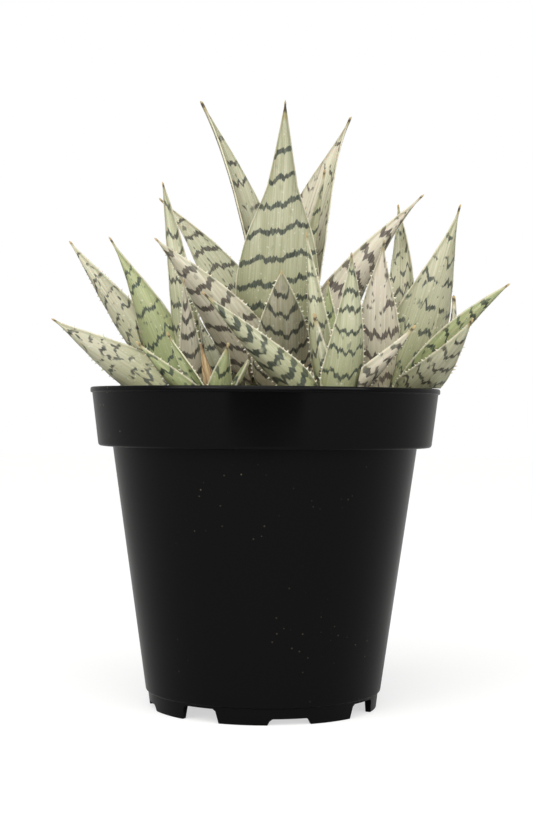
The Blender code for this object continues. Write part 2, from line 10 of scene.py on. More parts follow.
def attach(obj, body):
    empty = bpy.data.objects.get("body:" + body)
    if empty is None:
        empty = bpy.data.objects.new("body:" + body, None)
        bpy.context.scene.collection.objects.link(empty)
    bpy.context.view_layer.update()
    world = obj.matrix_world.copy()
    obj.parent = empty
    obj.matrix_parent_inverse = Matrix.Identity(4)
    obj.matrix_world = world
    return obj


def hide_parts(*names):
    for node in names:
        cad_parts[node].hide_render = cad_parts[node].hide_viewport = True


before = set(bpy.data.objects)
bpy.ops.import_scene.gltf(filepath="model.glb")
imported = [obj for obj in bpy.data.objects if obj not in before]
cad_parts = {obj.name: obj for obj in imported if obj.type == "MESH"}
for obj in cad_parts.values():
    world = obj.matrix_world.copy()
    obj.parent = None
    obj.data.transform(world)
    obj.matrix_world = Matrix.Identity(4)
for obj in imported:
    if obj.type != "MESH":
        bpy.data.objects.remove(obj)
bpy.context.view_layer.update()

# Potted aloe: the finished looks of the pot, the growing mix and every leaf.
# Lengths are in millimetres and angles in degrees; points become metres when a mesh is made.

MM = 0.001

# Pot
POT_HEIGHT = 136.0
POT_SEGMENTS = 176
LIP_RADIUS = 75.0
LIP_DEPTH = 2.4
BAND_TOP_RADIUS = 74.2
BAND_FOOT_RADIUS = 71.4
BAND_FOOT_Z = 111.0
BODY_TOP_RADIUS = 65.3
BODY_FOOT_RADIUS = 50.4
BODY_FOOT_Z = 7.3
FOOT_RING_RADIUS = 49.4
FOOT_TIP_RADIUS = 48.6
WALL = 1.5
FOOT_RING_WALL = 2.4
FLOOR_UNDERSIDE_Z = 6.4
FLOOR_TOP_Z = 8.0

# Foot openings, measured round the pot from the front, positive to the right
DRAIN_NOTCH_FIRST = -32.0
DRAIN_NOTCH_WIDTH = 15.0
DRAIN_NOTCH_HEIGHT = 5.9
SHALLOW_GAP_FIRST = 13.0
SHALLOW_GAP_WIDTH = 16.0
SHALLOW_GAP_HEIGHT = 2.6
NOTCH_SLANT = 1.6
NOTCHES_ROUND = 4
DRAIN_HOLE_INNER = 33.0
DRAIN_HOLE_OUTER = 44.0
DRAIN_HOLE_WIDTH = 10.0

# Growing mix
SOIL_TOP_Z = 122.0
SOIL_RADIUS = 70.0
GAP = 0.3

# Stems: centre x, centre y, top height, foot radius
STEM_TOP_SHARE = 0.55
STEM_SIDES = 28
STEMS = {
    "main": (8.0, 12.0, 150.0, 8.0),
    "left": (-31.0, 4.0, 142.0, 6.5),
    "right": (53.0, 4.0, 142.0, 6.5),
    "front": (27.0, -36.0, 138.0, 5.5),
    "front_left": (-20.0, -40.0, 132.0, 4.0),
    "back_left": (-14.0, 46.0, 136.0, 5.0),
    "back_right": (34.0, 44.0, 136.0, 5.0),
}

# Leaf sections
MARGIN_THICKNESS = 1.0
TIP_THICKNESS = 1.1
TIP_HALF_WIDTH = 0.45
BASE_WIDTH_SHARE = 0.6
SHOULDER_AT = 0.26
KEEL_AT = 0.58
KEEL_DEPTH = 0.8
BLADE_STATIONS = 84
UPPER_POINTS = 13
LOWER_POINTS = 13
UNDERSIDE_ROUND = 2.4
CLEARANCE_STATIONS = 14
CLEARANCE_GROWTH = 0.5
TEETH_FROM = 0.08
TEETH_TO = 0.93
TOOTH_GROWTH = 1.3


class Leaf:
    """One leaf: where it grows, where its tip is, and the shape of its blade."""

    def __init__(self, stem, side, foot, tip, width, thick, face=None, bow=0.0, sway=0.0,
                 taper=(0.85, 1.1), point=0.0, channel=0.12, tooth=0.9, finish="leaf_pale"):
        self.stem = stem          # key into STEMS
        self.side = side          # side of the stem it grows on, 0 front, 90 right, 180 back
        self.foot = foot          # distance of its foot from the stem axis, and foot height
        self.tip = tip            # x, y, z of the point
        self.width = width        # widest part
        self.thick = thick        # thickness at the foot
        self.face = side if face is None else face    # where its underside looks
        self.bow = bow            # how far the middle hangs out below a straight line
        self.sway = sway          # how far the middle lies to the side
        self.taper = taper        # share of the length that tapers, and how hollow the taper is
        self.point = point        # how fast the slender point widens, 0 for a plain taper
        self.channel = channel    # depth of the upper channel as a share of the width
        self.tooth = tooth        # height of the marginal teeth
        self.finish = finish      # name of its colouring


# Leaves in the order in which they lie over one another, front ones first
LEAVES = {
    "leaf_front_long": Leaf("front", -80, (4, 128), (-25.3, -57, 173), 14, 6, face=-15, bow=1),
    "leaf_front_broad": Leaf("front", 15, (4, 125), (34, -52, 189.5), 18.5, 7, face=5, bow=2,
                             sway=2.1, taper=(1.0, 1.0)),
    "leaf_front_right": Leaf("front", 95, (3, 129), (59.5, -55, 160.5), 10, 5, face=30, bow=2,
                             finish="leaf_blush"),
    "leaf_front_narrow": Leaf("front", -135, (3, 130), (16.5, -24, 200.5), 11, 6, face=-20,
                              bow=1, channel=0.3),
    "leaf_front_back": Leaf("front", 170, (2, 131), (26, -18, 181), 12, 6,
                            finish="leaf_green"),
    "leaf_front_heart": Leaf("front", -60, (1, 133), (19.5, -37, 166), 7, 3.5),
    "leaf_young_left": Leaf("front_left", -75, (3, 126), (-51, -59, 153), 9, 4, face=-20,
                            bow=2, channel=0.2, finish="leaf_green"),
    "leaf_young_fold": Leaf("front_left", 15, (2, 124), (-14.7, -57, 152.7), 11, 4,
                            channel=0.45, tooth=0.6, finish="leaf_green"),
    "leaf_young_thin": Leaf("front_left", 110, (2.5, 125), (-5, -44, 149), 6, 3,
                            finish="leaf_green", tooth=0.5),
    "leaf_young_channel": Leaf("front_left", -125, (2, 128), (-40, -38, 158), 7, 3.5,
                               face=150, channel=0.4, finish="leaf_green"),
    "leaf_young_dry": Leaf("front_left", 180, (2, 126), (-26.6, -34, 153.5), 6, 2.4,
                           finish="leaf_dry", tooth=0.4),
    "leaf_main_low": Leaf("main", 0, (6, 128), (6.4, -31, 184), 27, 8, bow=3,
                          taper=(0.75, 0.9), finish="leaf_blush"),
    "leaf_main_centre": Leaf("main", -50, (8.5, 134), (7.5, -9, 258.4), 36, 9, face=-4, bow=4,
                             sway=1.2, taper=(0.63, 2.4), point=1.26, channel=0.05, tooth=0.5),
    "leaf_right_front": Leaf("right", 30, (5, 128), (83.5, -46, 164), 18, 5.5, face=15, bow=3.5,
                             sway=1.7),
    "leaf_right_broad": Leaf("right", 50, (3.5, 132), (84.1, 4, 216.3), 30, 7, face=15, bow=2,
                             sway=0.9, taper=(0.85, 1.45), tooth=0.5),
    "leaf_right_green": Leaf("right", 72, (5, 128), (99.2, -38, 178.6), 12, 5, face=20, bow=0.5,
                             sway=-4.4, taper=(0.83, 0.9), tooth=0.6, finish="leaf_green"),
    "leaf_right_upright": Leaf("right", -40, (4, 130), (50, -9, 199.3), 19, 6, face=-5, bow=2,
                               sway=-1.9, taper=(0.66, 1.3), finish="leaf_blush"),
    "leaf_main_left": Leaf("main", -55, (6, 132), (-46.4, -26, 197.4), 27, 7, face=-20, bow=2,
                           sway=4.5, taper=(0.89, 1.14), finish="leaf_blush"),
    "leaf_left_red": Leaf("left", 15, (4, 128), (-34.4, -25, 181), 11, 5, face=0, bow=2,
                          finish="leaf_blush"),
    "leaf_left_low": Leaf("left", -95, (3.5, 129), (-96.7, 32, 167), 21.5, 7, face=-30, bow=2,
                          sway=0.0, taper=(0.85, 1.2)),
    "leaf_left_mid": Leaf("left", -100, (5, 130), (-69.3, 14, 202), 23, 7, face=-20, bow=0.7,
                          sway=2.7, taper=(0.93, 1.4), tooth=0.5, finish="leaf_green"),
    "leaf_left_tall": Leaf("left", -35, (3, 134), (-45.4, 4, 225), 13, 6, face=-10, sway=1.7,
                           taper=(0.86, 0.85), tooth=0.5),
    "leaf_left_back": Leaf("left", -135, (5, 132), (-89, 32, 202), 19, 7, face=-30, bow=2),
    "leaf_main_right": Leaf("main", 70, (6, 134), (68.6, 10, 221.3), 24.5, 7, face=15, bow=1.2,
                            sway=-6.5, taper=(0.92, 1.3), tooth=0.7, finish="leaf_blush"),
    "leaf_main_back_left": Leaf("main", -150, (4, 138), (-30, 24, 264), 23, 7, face=-140, bow=-6,
                                sway=-3.2, taper=(0.85, 1.4), channel=0.3, tooth=0.5),
    "leaf_main_back_right": Leaf("main", 140, (3, 142), (37.8, 32, 259), 29, 7, face=150, bow=-2,
                                 sway=5.1, taper=(0.71, 1.5), channel=0.35, tooth=0.5),
    "leaf_main_inner": Leaf("main", 85, (2, 142), (25.5, 10, 232), 12, 5, face=30, tooth=0.5,
                            finish="leaf_blush"),
    "leaf_main_far_left": Leaf("main", -110, (4, 134), (-47.8, 22, 220.4), 22, 7, face=175, bow=0.5,
                               sway=-6.4, taper=(0.7, 1.36), tooth=0.6),
    "leaf_right_tall": Leaf("right", 165, (3, 132), (58.5, 22, 218.4), 16, 6, bow=0.5, sway=-3.7,
                            taper=(0.84, 0.95), channel=0.35, tooth=0.5),
    "leaf_right_curled": Leaf("right", 105, (4, 130), (85, 34, 179), 11, 5, bow=9, sway=-0.6,
                              finish="leaf_blush"),
    "leaf_main_rear": Leaf("main", 178, (6, 131), (10, 42, 228), 26, 8, bow=2),
    "leaf_main_rear_right": Leaf("main", 150, (6, 130), (44, 62, 197), 20, 7, bow=4),
    "leaf_main_rear_left": Leaf("main", -150, (6, 130), (-24, 62, 195), 20, 7, bow=4),
    "leaf_left_rear": Leaf("left", -150, (0, 131), (-62, 48, 178), 16, 6, bow=3),
    "leaf_left_inner": Leaf("left", 170, (3, 132), (-38, 38, 194), 15, 6, bow=1,
                            finish="leaf_blush"),
    "leaf_right_rear": Leaf("right", 150, (5, 128), (72, 52, 179), 16, 6, bow=3),
    "leaf_back_left_low": Leaf("back_left", -115, (3, 128), (-54, 58, 163), 13, 5, bow=3,
                               finish="leaf_green"),
    "leaf_back_left_out": Leaf("back_left", -155, (3, 127), (-34, 72, 174), 14, 5, bow=3),
    "leaf_back_left_tall": Leaf("back_left", -60, (1, 131), (-20, 52, 192), 13, 5),
    "leaf_back_left_mid": Leaf("back_left", 170, (3, 127), (-9, 73, 184), 14, 5, bow=3,
                               finish="leaf_blush"),
    "leaf_back_left_right": Leaf("back_left", 115, (3, 126), (14, 71, 168), 12, 5, bow=3),
    "leaf_back_right_low": Leaf("back_right", 110, (3, 129), (73, 60, 165), 13, 5, bow=3),
    "leaf_back_right_out": Leaf("back_right", 150, (3, 128), (56, 72, 177), 14, 5, bow=3,
                                finish="leaf_green"),
    "leaf_back_right_tall": Leaf("back_right", 30, (1, 131), (40, 50, 187), 13, 5,
                                 finish="leaf_blush"),
    "leaf_back_right_mid": Leaf("back_right", -170, (3, 127), (32, 73, 185), 14, 5, bow=3),
}


class Bands:
    """Where the dark crossbands of one leaf lie, how they run, its tone and painted shade."""

    def __init__(self, at, slope=0.0, smile=0.0, depth=2.4, umber=0.2, broken=0.3, blush=0.2,
                 shade=0.1, green=0.15, tip=None, lines=0.2):
        self.at = at              # distances of the bands from the tip
        self.slope = slope        # shift towards the foot for each millimetre to the left
        self.smile = smile        # how much lower a band hangs in the middle than at the margins
        self.depth = depth        # height of a band
        self.umber = umber        # 0 blue-green bands, 1 brown bands
        self.broken = broken      # 0 whole bands, 1 scattered spots
        self.blush = blush        # how far the ground turns pinkish
        self.shade = shade        # how far the ground darkens to olive, own tone and painted shade
        self.green = green        # how far the ground turns grass green
        self.tip = tip            # length of the brown tip, drawn by lot if not given
        self.lines = lines        # how many thin brown lines run along it


BANDS = {
    "leaf_main_centre": Bands([20.8, 32.3, 43.8, 54.9, 66.6, 77.4, 86, 96], slope=-0.25,
                              depth=2.5, umber=0.08, broken=0.1, blush=0.0, shade=0.34,
                              green=0.1, tip=6.0, lines=0.05),
    "leaf_main_low": Bands([6, 14.4, 23, 31.6, 40, 46], smile=4.2, depth=2.2, umber=0.3,
                           broken=0.12, blush=0.0, shade=0.56, green=0.25, tip=1.6),
    "leaf_front_broad": Bands([7, 14, 20.6, 29.8, 38.2, 48.2, 57], slope=-0.15, smile=0.8,
                              depth=1.9, umber=0.0, broken=0.3, blush=0.0, shade=0.06,
                              green=0.15, tip=3.0, lines=0.0),
    "leaf_main_right": Bands([14, 23.5, 36, 47, 58, 69], slope=0.5, depth=4.0, umber=0.85,
                             broken=0.5, blush=0.9, shade=0.08, green=0.0),
    "leaf_right_broad": Bands([14, 23.5, 34, 46, 56.5, 66, 76], slope=0.1, smile=1.0,
                              depth=2.4, umber=0.1, broken=0.6, blush=0.2, shade=0.28,
                              green=0.05),
    "leaf_main_back_left": Bands([18.5, 31, 41.5, 54, 64, 76], slope=0.1, depth=2.2,
                                 umber=0.35, broken=0.58, blush=0.15, shade=0.2, green=0.0,
                                 lines=0.5),
    "leaf_main_left": Bands([8, 17.4, 26.5, 36, 47.5, 58], slope=0.35, smile=2.2, depth=3.0,
                            umber=0.75, broken=0.22, blush=0.55, shade=0.0, green=0.05),
    "leaf_left_tall": Bands([9, 22, 30, 41, 52, 62], smile=2.0, depth=2.2, umber=0.4,
                            broken=0.4, blush=0.3, shade=0.0, green=0.15),
    "leaf_main_far_left": Bands([8, 15, 24, 33, 43, 54], slope=-0.2, smile=-2.0, depth=2.6,
                                umber=0.55, broken=0.5, blush=0.3, shade=0.0, green=0.1),
    "leaf_left_back": Bands([8.5, 17, 25, 34, 44, 54], slope=-0.2, depth=2.4, umber=0.35,
                            broken=0.62, blush=0.3, shade=0.14, green=0.0, lines=0.4),
    "leaf_left_mid": Bands([17, 24, 36, 49, 60], smile=2.5, slope=-0.2, depth=2.0, umber=0.0,
                           broken=0.5, blush=0.0, shade=0.22, green=0.4, lines=0.1),
    "leaf_left_low": Bands([13, 22, 31, 40, 50, 60], slope=-0.3, depth=2.8, umber=0.3,
                           broken=0.62, blush=0.3, shade=0.16, green=0.0),
    "leaf_front_long": Bands([9, 16, 23, 31, 39, 47, 54], smile=1.5, depth=3.4, umber=0.05,
                             broken=0.42, blush=0.0, shade=0.0, green=0.1),
    "leaf_main_back_right": Bands([14, 27, 41, 55, 68], slope=-1.1, depth=2.0, umber=0.7,
                                  broken=0.6, blush=0.75, shade=0.0, green=0.0, lines=0.8),
    "leaf_main_inner": Bands([9, 18, 28, 39], slope=-1.4, depth=2.0, umber=0.1,
                             broken=0.4, blush=0.1, shade=0.1, green=0.6, lines=0.5),
    "leaf_right_tall": Bands([13, 22, 31, 40, 50], slope=0.5, depth=2.2, umber=0.35,
                             broken=0.6, blush=0.4, shade=0.1, green=0.15, lines=0.6),
    "leaf_right_upright": Bands([14, 26, 38, 48, 58], smile=1.5, depth=3.2, umber=0.9,
                                broken=0.55, blush=0.9, shade=0.0, green=0.0),
    "leaf_right_green": Bands([12, 19, 27, 35, 44], depth=2.0, umber=0.0, broken=0.5,
                              blush=0.0, shade=0.0, green=0.5),
    "leaf_right_front": Bands([8, 17, 26, 35, 44], smile=3.0, depth=2.2, umber=0.45,
                              broken=0.5, blush=0.35, shade=0.0, green=0.1),
    "leaf_front_right": Bands([11, 18, 26, 33], depth=2.6, umber=0.45, broken=0.5,
                              blush=0.8, shade=0.1, green=0.0),
    "leaf_front_narrow": Bands([10, 18, 28, 39, 50, 60], slope=-0.4, depth=2.2, umber=0.25,
                               broken=0.5, blush=0.2, shade=0.1, green=0.25),
    "leaf_left_red": Bands([8, 15, 23, 32, 41], smile=2.5, depth=2.8, umber=0.45,
                           broken=0.25, blush=0.6, shade=0.1, green=0.05),
}
USUAL_FIRST_BAND = 9.0
USUAL_SPACING = 9.5


def linear(value):
    """A hex colour as the four linear numbers that a shader takes."""
    channels = [int(value[place:place + 2], 16) / 255.0 for place in (1, 3, 5)]
    turned = [c / 12.92 if c <= 0.04045 else ((c + 0.055) / 1.055) ** 2.4 for c in channels]
    return (*turned, 1.0)


def new_material(name):
    """An empty material with a Principled shader; returns it, its tree and the shader."""
    material = bpy.data.materials.new(name)
    material.use_nodes = True
    tree = material.node_tree
    return material, tree, tree.nodes["Principled BSDF"]


def put(tree, kind, inputs=None, **settings):
    """Add a node, set its properties, and fill or link its inputs."""
    node = tree.nodes.new(kind)
    for key, value in settings.items():
        setattr(node, key, value)
    fill(tree, node, inputs or {})
    return node


def fill(tree, node, inputs):
    """Fill or link the inputs of a node."""
    for key, value in inputs.items():
        if isinstance(value, bpy.types.NodeSocket):
            tree.links.new(value, node.inputs[key])
        else:
            node.inputs[key].default_value = value


def add_piece(name, bm, materials):
    """Turn a bmesh in millimetres into a named object in metres."""
    bmesh.ops.scale(bm, vec=Vector((MM, MM, MM)), verts=bm.verts)
    bmesh.ops.recalc_face_normals(bm, faces=bm.faces)
    mesh = bpy.data.meshes.new(name)
    bm.to_mesh(mesh)
    bm.free()
    for material in materials:
        mesh.materials.append(material)
    piece = bpy.data.objects.new(name, mesh)
    bpy.context.scene.collection.objects.link(piece)
    return piece


def bake_modifiers(piece):
    """Replace the piece's mesh with its evaluated form and drop the modifiers."""
    scene_now = bpy.context.evaluated_depsgraph_get()
    mesh = bpy.data.meshes.new_from_object(piece.evaluated_get(scene_now))
    piece.modifiers.clear()
    old = piece.data
    piece.data = mesh
    bpy.data.meshes.remove(old)


def cut_away(piece, cutters, solver):
    """Cut every object of the list out of the piece, then remove them."""
    group = bpy.data.collections.new("cutters")
    bpy.context.scene.collection.children.link(group)
    for cutter in cutters:
        bpy.context.scene.collection.objects.unlink(cutter)
        group.objects.link(cutter)
    cut = piece.modifiers.new("cut", "BOOLEAN")
    cut.operation = "DIFFERENCE"
    cut.operand_type = "COLLECTION"
    cut.collection = group
    cut.solver = solver
    bake_modifiers(piece)
    for cutter in cutters:
        bpy.data.objects.remove(cutter, do_unlink=True)
    bpy.data.collections.remove(group)


def smooth_round(piece, angle=35.0):
    """Shade the piece smooth and keep its steep edges crisp."""
    piece.data.shade_smooth()
    piece.data.set_sharp_from_angle(angle=math.radians(angle))


# Materials

def leaf_skin(name, ground, line, painted_foot_shade, roughness):
    """Waxy aloe skin, grown: pale bloom, fine lengthwise ribs and jagged dark crossbands."""
    material, tree, shader = new_material(name)

    def parts_of(attribute):
        read = put(tree, "ShaderNodeAttribute", attribute_name=attribute)
        return put(tree, "ShaderNodeSeparateXYZ", {0: read.outputs["Vector"]}).outputs

    across, from_tip, share = parts_of("blade")
    phase, spacing, depth = parts_of("bands")
    umber, broken, blush = parts_of("tone")
    rim, tone_and_painted_shade, seed = parts_of("edge")
    green, tip, lined = parts_of("cast")

    def math_node(operation, first, second=0.0, third=0.0, clamp=False):
        return put(tree, "ShaderNodeMath", {0: first, 1: second, 2: third},
                   operation=operation, use_clamp=clamp).outputs[0]

    def streaks(per_across, per_along, shift, detail=2.0):
        """Noise drawn out along the blade; the rates are waves for each millimetre."""
        place = put(tree, "ShaderNodeCombineXYZ",
                    {0: math_node("MULTIPLY", across, per_across),
                     1: math_node("MULTIPLY", from_tip, per_along),
                     2: math_node("ADD", seed, shift)})
        return put(tree, "ShaderNodeTexNoise",
                   {"Vector": place.outputs[0], "Scale": 1.0, "Detail": detail,
                    "Roughness": 0.55}).outputs["Fac"]

    def swing(noise, reach):
        """Noise about a half turned into a shift of this reach either way, in millimetres."""
        return math_node("MULTIPLY", math_node("SUBTRACT", noise, 0.5), 4.0 * reach)

    def above(noise, level, steep):
        """0 below a level of the noise and 1 above it, with an edge of this steepness."""
        over = math_node("MULTIPLY", math_node("SUBTRACT", noise, level), steep)
        return math_node("ADD", over, 0.5, clamp=True)

    def mixed(amount, first, second):
        node = put(tree, "ShaderNodeMix", {"Factor": amount}, data_type="RGBA")
        sockets = [socket for socket in node.inputs if socket.type == "RGBA"]
        for socket, value in zip(sockets, (first, second)):
            if isinstance(value, bpy.types.NodeSocket):
                tree.links.new(value, socket)
            else:
                socket.default_value = linear(value)
        return [socket for socket in node.outputs if socket.type == "RGBA"][0]

    # Course of the bands: a slow wander, a zigzag of 2 mm teeth and ribs 0.8 mm wide
    # that tear into slanting flecks where the bands break up
    wander = swing(streaks(0.11, 0.02, 0.0, 1.0), 1.5)
    zigzag = swing(streaks(0.5, 0.02, 3.0, 0.0), 1.15)
    ribbed = swing(streaks(1.3, 0.05, 6.0, 1.0), 0.75)
    torn = math_node("ADD", math_node("MULTIPLY", broken, 1.7), 0.75)
    course = math_node("MULTIPLY", math_node("ADD", zigzag, ribbed), torn)
    course = math_node("ADD", wander, course)
    moved = math_node("ADD", math_node("ADD", phase, math_node("DIVIDE", course, spacing)), 0.5)
    off = math_node("SUBTRACT", math_node("FRACT", moved), 0.5)
    away = math_node("MULTIPLY", math_node("ABSOLUTE", off), spacing)
    swell = math_node("ADD", math_node("MULTIPLY", streaks(0.6, 0.08, 9.0), 1.3), 0.3)
    half_depth = math_node("MULTIPLY", math_node("MULTIPLY", depth, swell), 0.5)
    solid = above(math_node("SUBTRACT", half_depth, away), 0.0, 1.9)
    kept = above(math_node("SUBTRACT", streaks(0.22, 0.16, 14.0, 1.0),
                           math_node("MULTIPLY", broken, 0.77)), 0.0, 12.0)
    grain = math_node("ADD", math_node("MULTIPLY", streaks(1.8, 0.1, 17.0), 0.7), 0.55,
                      clamp=True)
    band = math_node("MULTIPLY", math_node("MULTIPLY", solid, kept), grain)
    fleck = math_node("MULTIPLY", above(streaks(0.62, 0.2, 61.0, 1.0), 0.69, 14.0),
                      math_node("MULTIPLY", broken, 1.5, clamp=True))
    band = math_node("MAXIMUM", band, fleck)

    # Ground: fine lengthwise lines under the bloom, broad greyer stripes, pink or green cast
    fine = streaks(1.7, 0.025, 21.0, 3.0)
    broad = streaks(0.28, 0.03, 27.0)
    patch = streaks(0.09, 0.05, 33.0, 1.0)
    skin = mixed(math_node("MULTIPLY", above(fine, 0.5, 3.4), 0.8), ground, line)
    skin = mixed(math_node("MULTIPLY", above(broad, 0.52, 3.4), 0.42), skin, "#9c9d86")
    pink = math_node("MULTIPLY", blush, above(patch, 0.42, 3.0))
    skin = mixed(math_node("MULTIPLY", pink, 0.75), skin, "#cdc2b0")
    leafy = math_node("MULTIPLY", green, above(broad, 0.45, 2.2))
    skin = mixed(leafy, skin, "#98a463")
    # Per leaf the ground darkens to olive: partly its own tone, partly painted shade
    skin = mixed(math_node("MULTIPLY", tone_and_painted_shade, 0.8), skin, "#645f44")
    # Painted shade: the ground darkens towards the foot, where the leaves crowd together
    low = math_node("MULTIPLY", math_node("SUBTRACT", share, 0.4), 2.0, clamp=True)
    skin = mixed(math_node("MULTIPLY", low, 0.8), skin, painted_foot_shade)
    vein = math_node("MULTIPLY", above(streaks(1.5, 0.014, 51.0, 1.0), 0.6, 9.0), lined)
    skin = mixed(math_node("MULTIPLY", vein, 0.62), skin, "#6f5f4c")
    bloom = above(streaks(1.1, 0.6, 39.0, 2.0), 0.68, 16.0)
    skin = mixed(math_node("MULTIPLY", bloom, 0.45), skin, "#dedccb")
    ink = mixed(above(streaks(0.8, 0.2, 45.0), 0.55, 5.0), "#222d29", "#3c4740")
    ink = mixed(umber, ink, "#4b403b")
    skin = mixed(math_node("MULTIPLY", band, 0.96), skin, ink)

    # Pale horny margin with a line of painted shade inside it, and a withered tip
    inner = math_node("MULTIPLY", above(rim, 0.35, -3.0), 1.0)
    # Painted shade: a darker band just inside the margin, where the blade rounds away
    beside = math_node("SUBTRACT", above(rim, 1.1, -2.0), inner, clamp=True)
    skin = mixed(math_node("MULTIPLY", beside, 0.28), skin, "#6f7450")
    skin = mixed(math_node("MULTIPLY", inner, 0.7), skin, "#d8d1b8")
    frayed = math_node("ADD", from_tip, math_node("MULTIPLY", fine, 2.0))
    ochre = above(math_node("SUBTRACT", math_node("MULTIPLY", tip, 1.5), frayed), 0.0, 0.5)
    skin = mixed(math_node("MULTIPLY", ochre, 0.6), skin, "#948549")
    brown = above(math_node("SUBTRACT", tip, frayed), 0.0, 0.9)
    skin = mixed(math_node("MULTIPLY", brown, 0.85), skin, "#3c2f1f")
    bleached = above(frayed, 2.4, -1.4)
    skin = mixed(math_node("MULTIPLY", bleached, 0.8), skin, "#c4ae80")

    ribs = math_node("ADD", fine, math_node("MULTIPLY", band, -0.12))
    bump = put(tree, "ShaderNodeBump", {"Height": ribs, "Strength": 0.3,
                                        "Distance": 0.0004})
    rough = put(tree, "ShaderNodeMapRange", {"Value": broad, "From Min": 0.3, "From Max": 0.7,
                                             "To Min": roughness - 0.06,
                                             "To Max": roughness + 0.08})
    fill(tree, shader, {"Base Color": skin, "Roughness": rough.outputs[0],
                        "Normal": bump.outputs[0], "IOR": 1.45, "Specular IOR Level": 0.35,
                        "Subsurface Weight": 0.1, "Subsurface Scale": 0.0012})
    return material


def tooth_horn():
    """Horny marginal tooth: hard, almost white, a little see-through at the point."""
    material, tree, shader = new_material("tooth_horn")
    place = put(tree, "ShaderNodeTexCoord")
    noise = put(tree, "ShaderNodeTexNoise", {"Vector": place.outputs["Object"],
                                             "Scale": 320.0, "Detail": 1.0})
    ramp = put(tree, "ShaderNodeValToRGB", {0: noise.outputs["Fac"]})
    ramp.color_ramp.elements[0].color = linear("#cfc8a8")
    ramp.color_ramp.elements[1].color = linear("#f1ecdb")
    fill(tree, shader, {"Base Color": ramp.outputs[0], "Roughness": 0.4, "IOR": 1.5,
                        "Subsurface Weight": 0.2, "Subsurface Scale": 0.0008})
    return material


def dry_leaf():
    """Withered leaf tissue, papery and fibrous: ochre to rust with dark tips."""
    material, tree, shader = new_material("dry_leaf_tissue")
    blade = put(tree, "ShaderNodeAttribute", attribute_name="blade")
    stretch = put(tree, "ShaderNodeMapping", {"Vector": blade.outputs["Vector"],
                                              "Scale": (1.8, 0.12, 1.0)})
    noise = put(tree, "ShaderNodeTexNoise", {"Vector": stretch.outputs[0], "Scale": 1.0,
                                             "Detail": 3.0})
    ramp = put(tree, "ShaderNodeValToRGB", {0: noise.outputs["Fac"]})
    ramp.color_ramp.elements[0].position = 0.3
    ramp.color_ramp.elements[0].color = linear("#5a3a22")
    ramp.color_ramp.elements[1].position = 0.7
    ramp.color_ramp.elements[1].color = linear("#c6ad80")
    bump = put(tree, "ShaderNodeBump", {"Height": noise.outputs["Fac"], "Strength": 0.8,
                                        "Distance": 0.0005})
    fill(tree, shader, {"Base Color": ramp.outputs[0], "Roughness": 0.8,
                        "Normal": bump.outputs[0]})
    return material


def pot_plastic():
    """Polypropylene with carbon black, injection moulded: satin skin, dust, fine scuffs."""
    material, tree, shader = new_material("moulded_black_polypropylene")
    place = put(tree, "ShaderNodeTexCoord")
    haze = put(tree, "ShaderNodeTexNoise", {"Vector": place.outputs["Object"],
                                            "Scale": 28.0, "Detail": 4.0})
    specks = put(tree, "ShaderNodeTexVoronoi", {"Vector": place.outputs["Object"],
                                                "Scale": 260.0})
    clusters = put(tree, "ShaderNodeTexNoise", {"Vector": place.outputs["Object"],
                                                "Scale": 22.0, "Detail": 2.0})
    dot = put(tree, "ShaderNodeMapRange", {"Value": specks.outputs["Distance"],
                                           "From Min": 0.11, "From Max": 0.07})
    some = put(tree, "ShaderNodeMapRange", {"Value": clusters.outputs["Fac"],
                                            "From Min": 0.56, "From Max": 0.62})
    height = put(tree, "ShaderNodeSeparateXYZ", {0: place.outputs["Object"]})
    under_band = put(tree, "ShaderNodeMapRange", {"Value": height.outputs[2],
                                                  "From Min": 0.088, "From Max": 0.106,
                                                  "To Min": 0.35, "To Max": 1.0})
    dusty = put(tree, "ShaderNodeMath", {0: dot.outputs[0], 1: some.outputs[0]},
                operation="MULTIPLY")
    dusty = put(tree, "ShaderNodeMath", {0: dusty.outputs[0], 1: under_band.outputs[0]},
                operation="MULTIPLY")
    colour = put(tree, "ShaderNodeMix", {"Factor": dusty.outputs[0]}, data_type="RGBA")
    sockets = [socket for socket in colour.inputs if socket.type == "RGBA"]
    sockets[0].default_value = linear("#09090a")
    sockets[1].default_value = linear("#5c5444")
    out = [socket for socket in colour.outputs if socket.type == "RGBA"][0]
    rough = put(tree, "ShaderNodeMapRange", {"Value": haze.outputs["Fac"], "From Min": 0.3,
                                             "From Max": 0.7, "To Min": 0.14, "To Max": 0.22})
    bump = put(tree, "ShaderNodeBump", {"Height": haze.outputs["Fac"], "Strength": 0.06,
                                        "Distance": 0.0004})
    fill(tree, shader, {"Base Color": out, "Roughness": rough.outputs[0],
                        "Normal": bump.outputs[0], "IOR": 1.49,
                        "Specular IOR Level": 0.12})
    return material


def potting_mix():
    """Peat and composted bark, loose and crumbly: dull dark browns with paler fibres."""
    material, tree, shader = new_material("peat_and_bark_mix")
    place = put(tree, "ShaderNodeTexCoord")
    noise = put(tree, "ShaderNodeTexNoise", {"Vector": place.outputs["Object"],
                                             "Scale": 420.0, "Detail": 5.0})
    ramp = put(tree, "ShaderNodeValToRGB", {0: noise.outputs["Fac"]})
    ramp.color_ramp.elements[0].position = 0.32
    ramp.color_ramp.elements[0].color = linear("#241a12")
    ramp.color_ramp.elements[1].position = 0.72
    ramp.color_ramp.elements[1].color = linear("#6a513a")
    bump = put(tree, "ShaderNodeBump", {"Height": noise.outputs["Fac"], "Strength": 1.0,
                                        "Distance": 0.0012})
    fill(tree, shader, {"Base Color": ramp.outputs[0], "Roughness": 0.95,
                        "Normal": bump.outputs[0]})
    return material


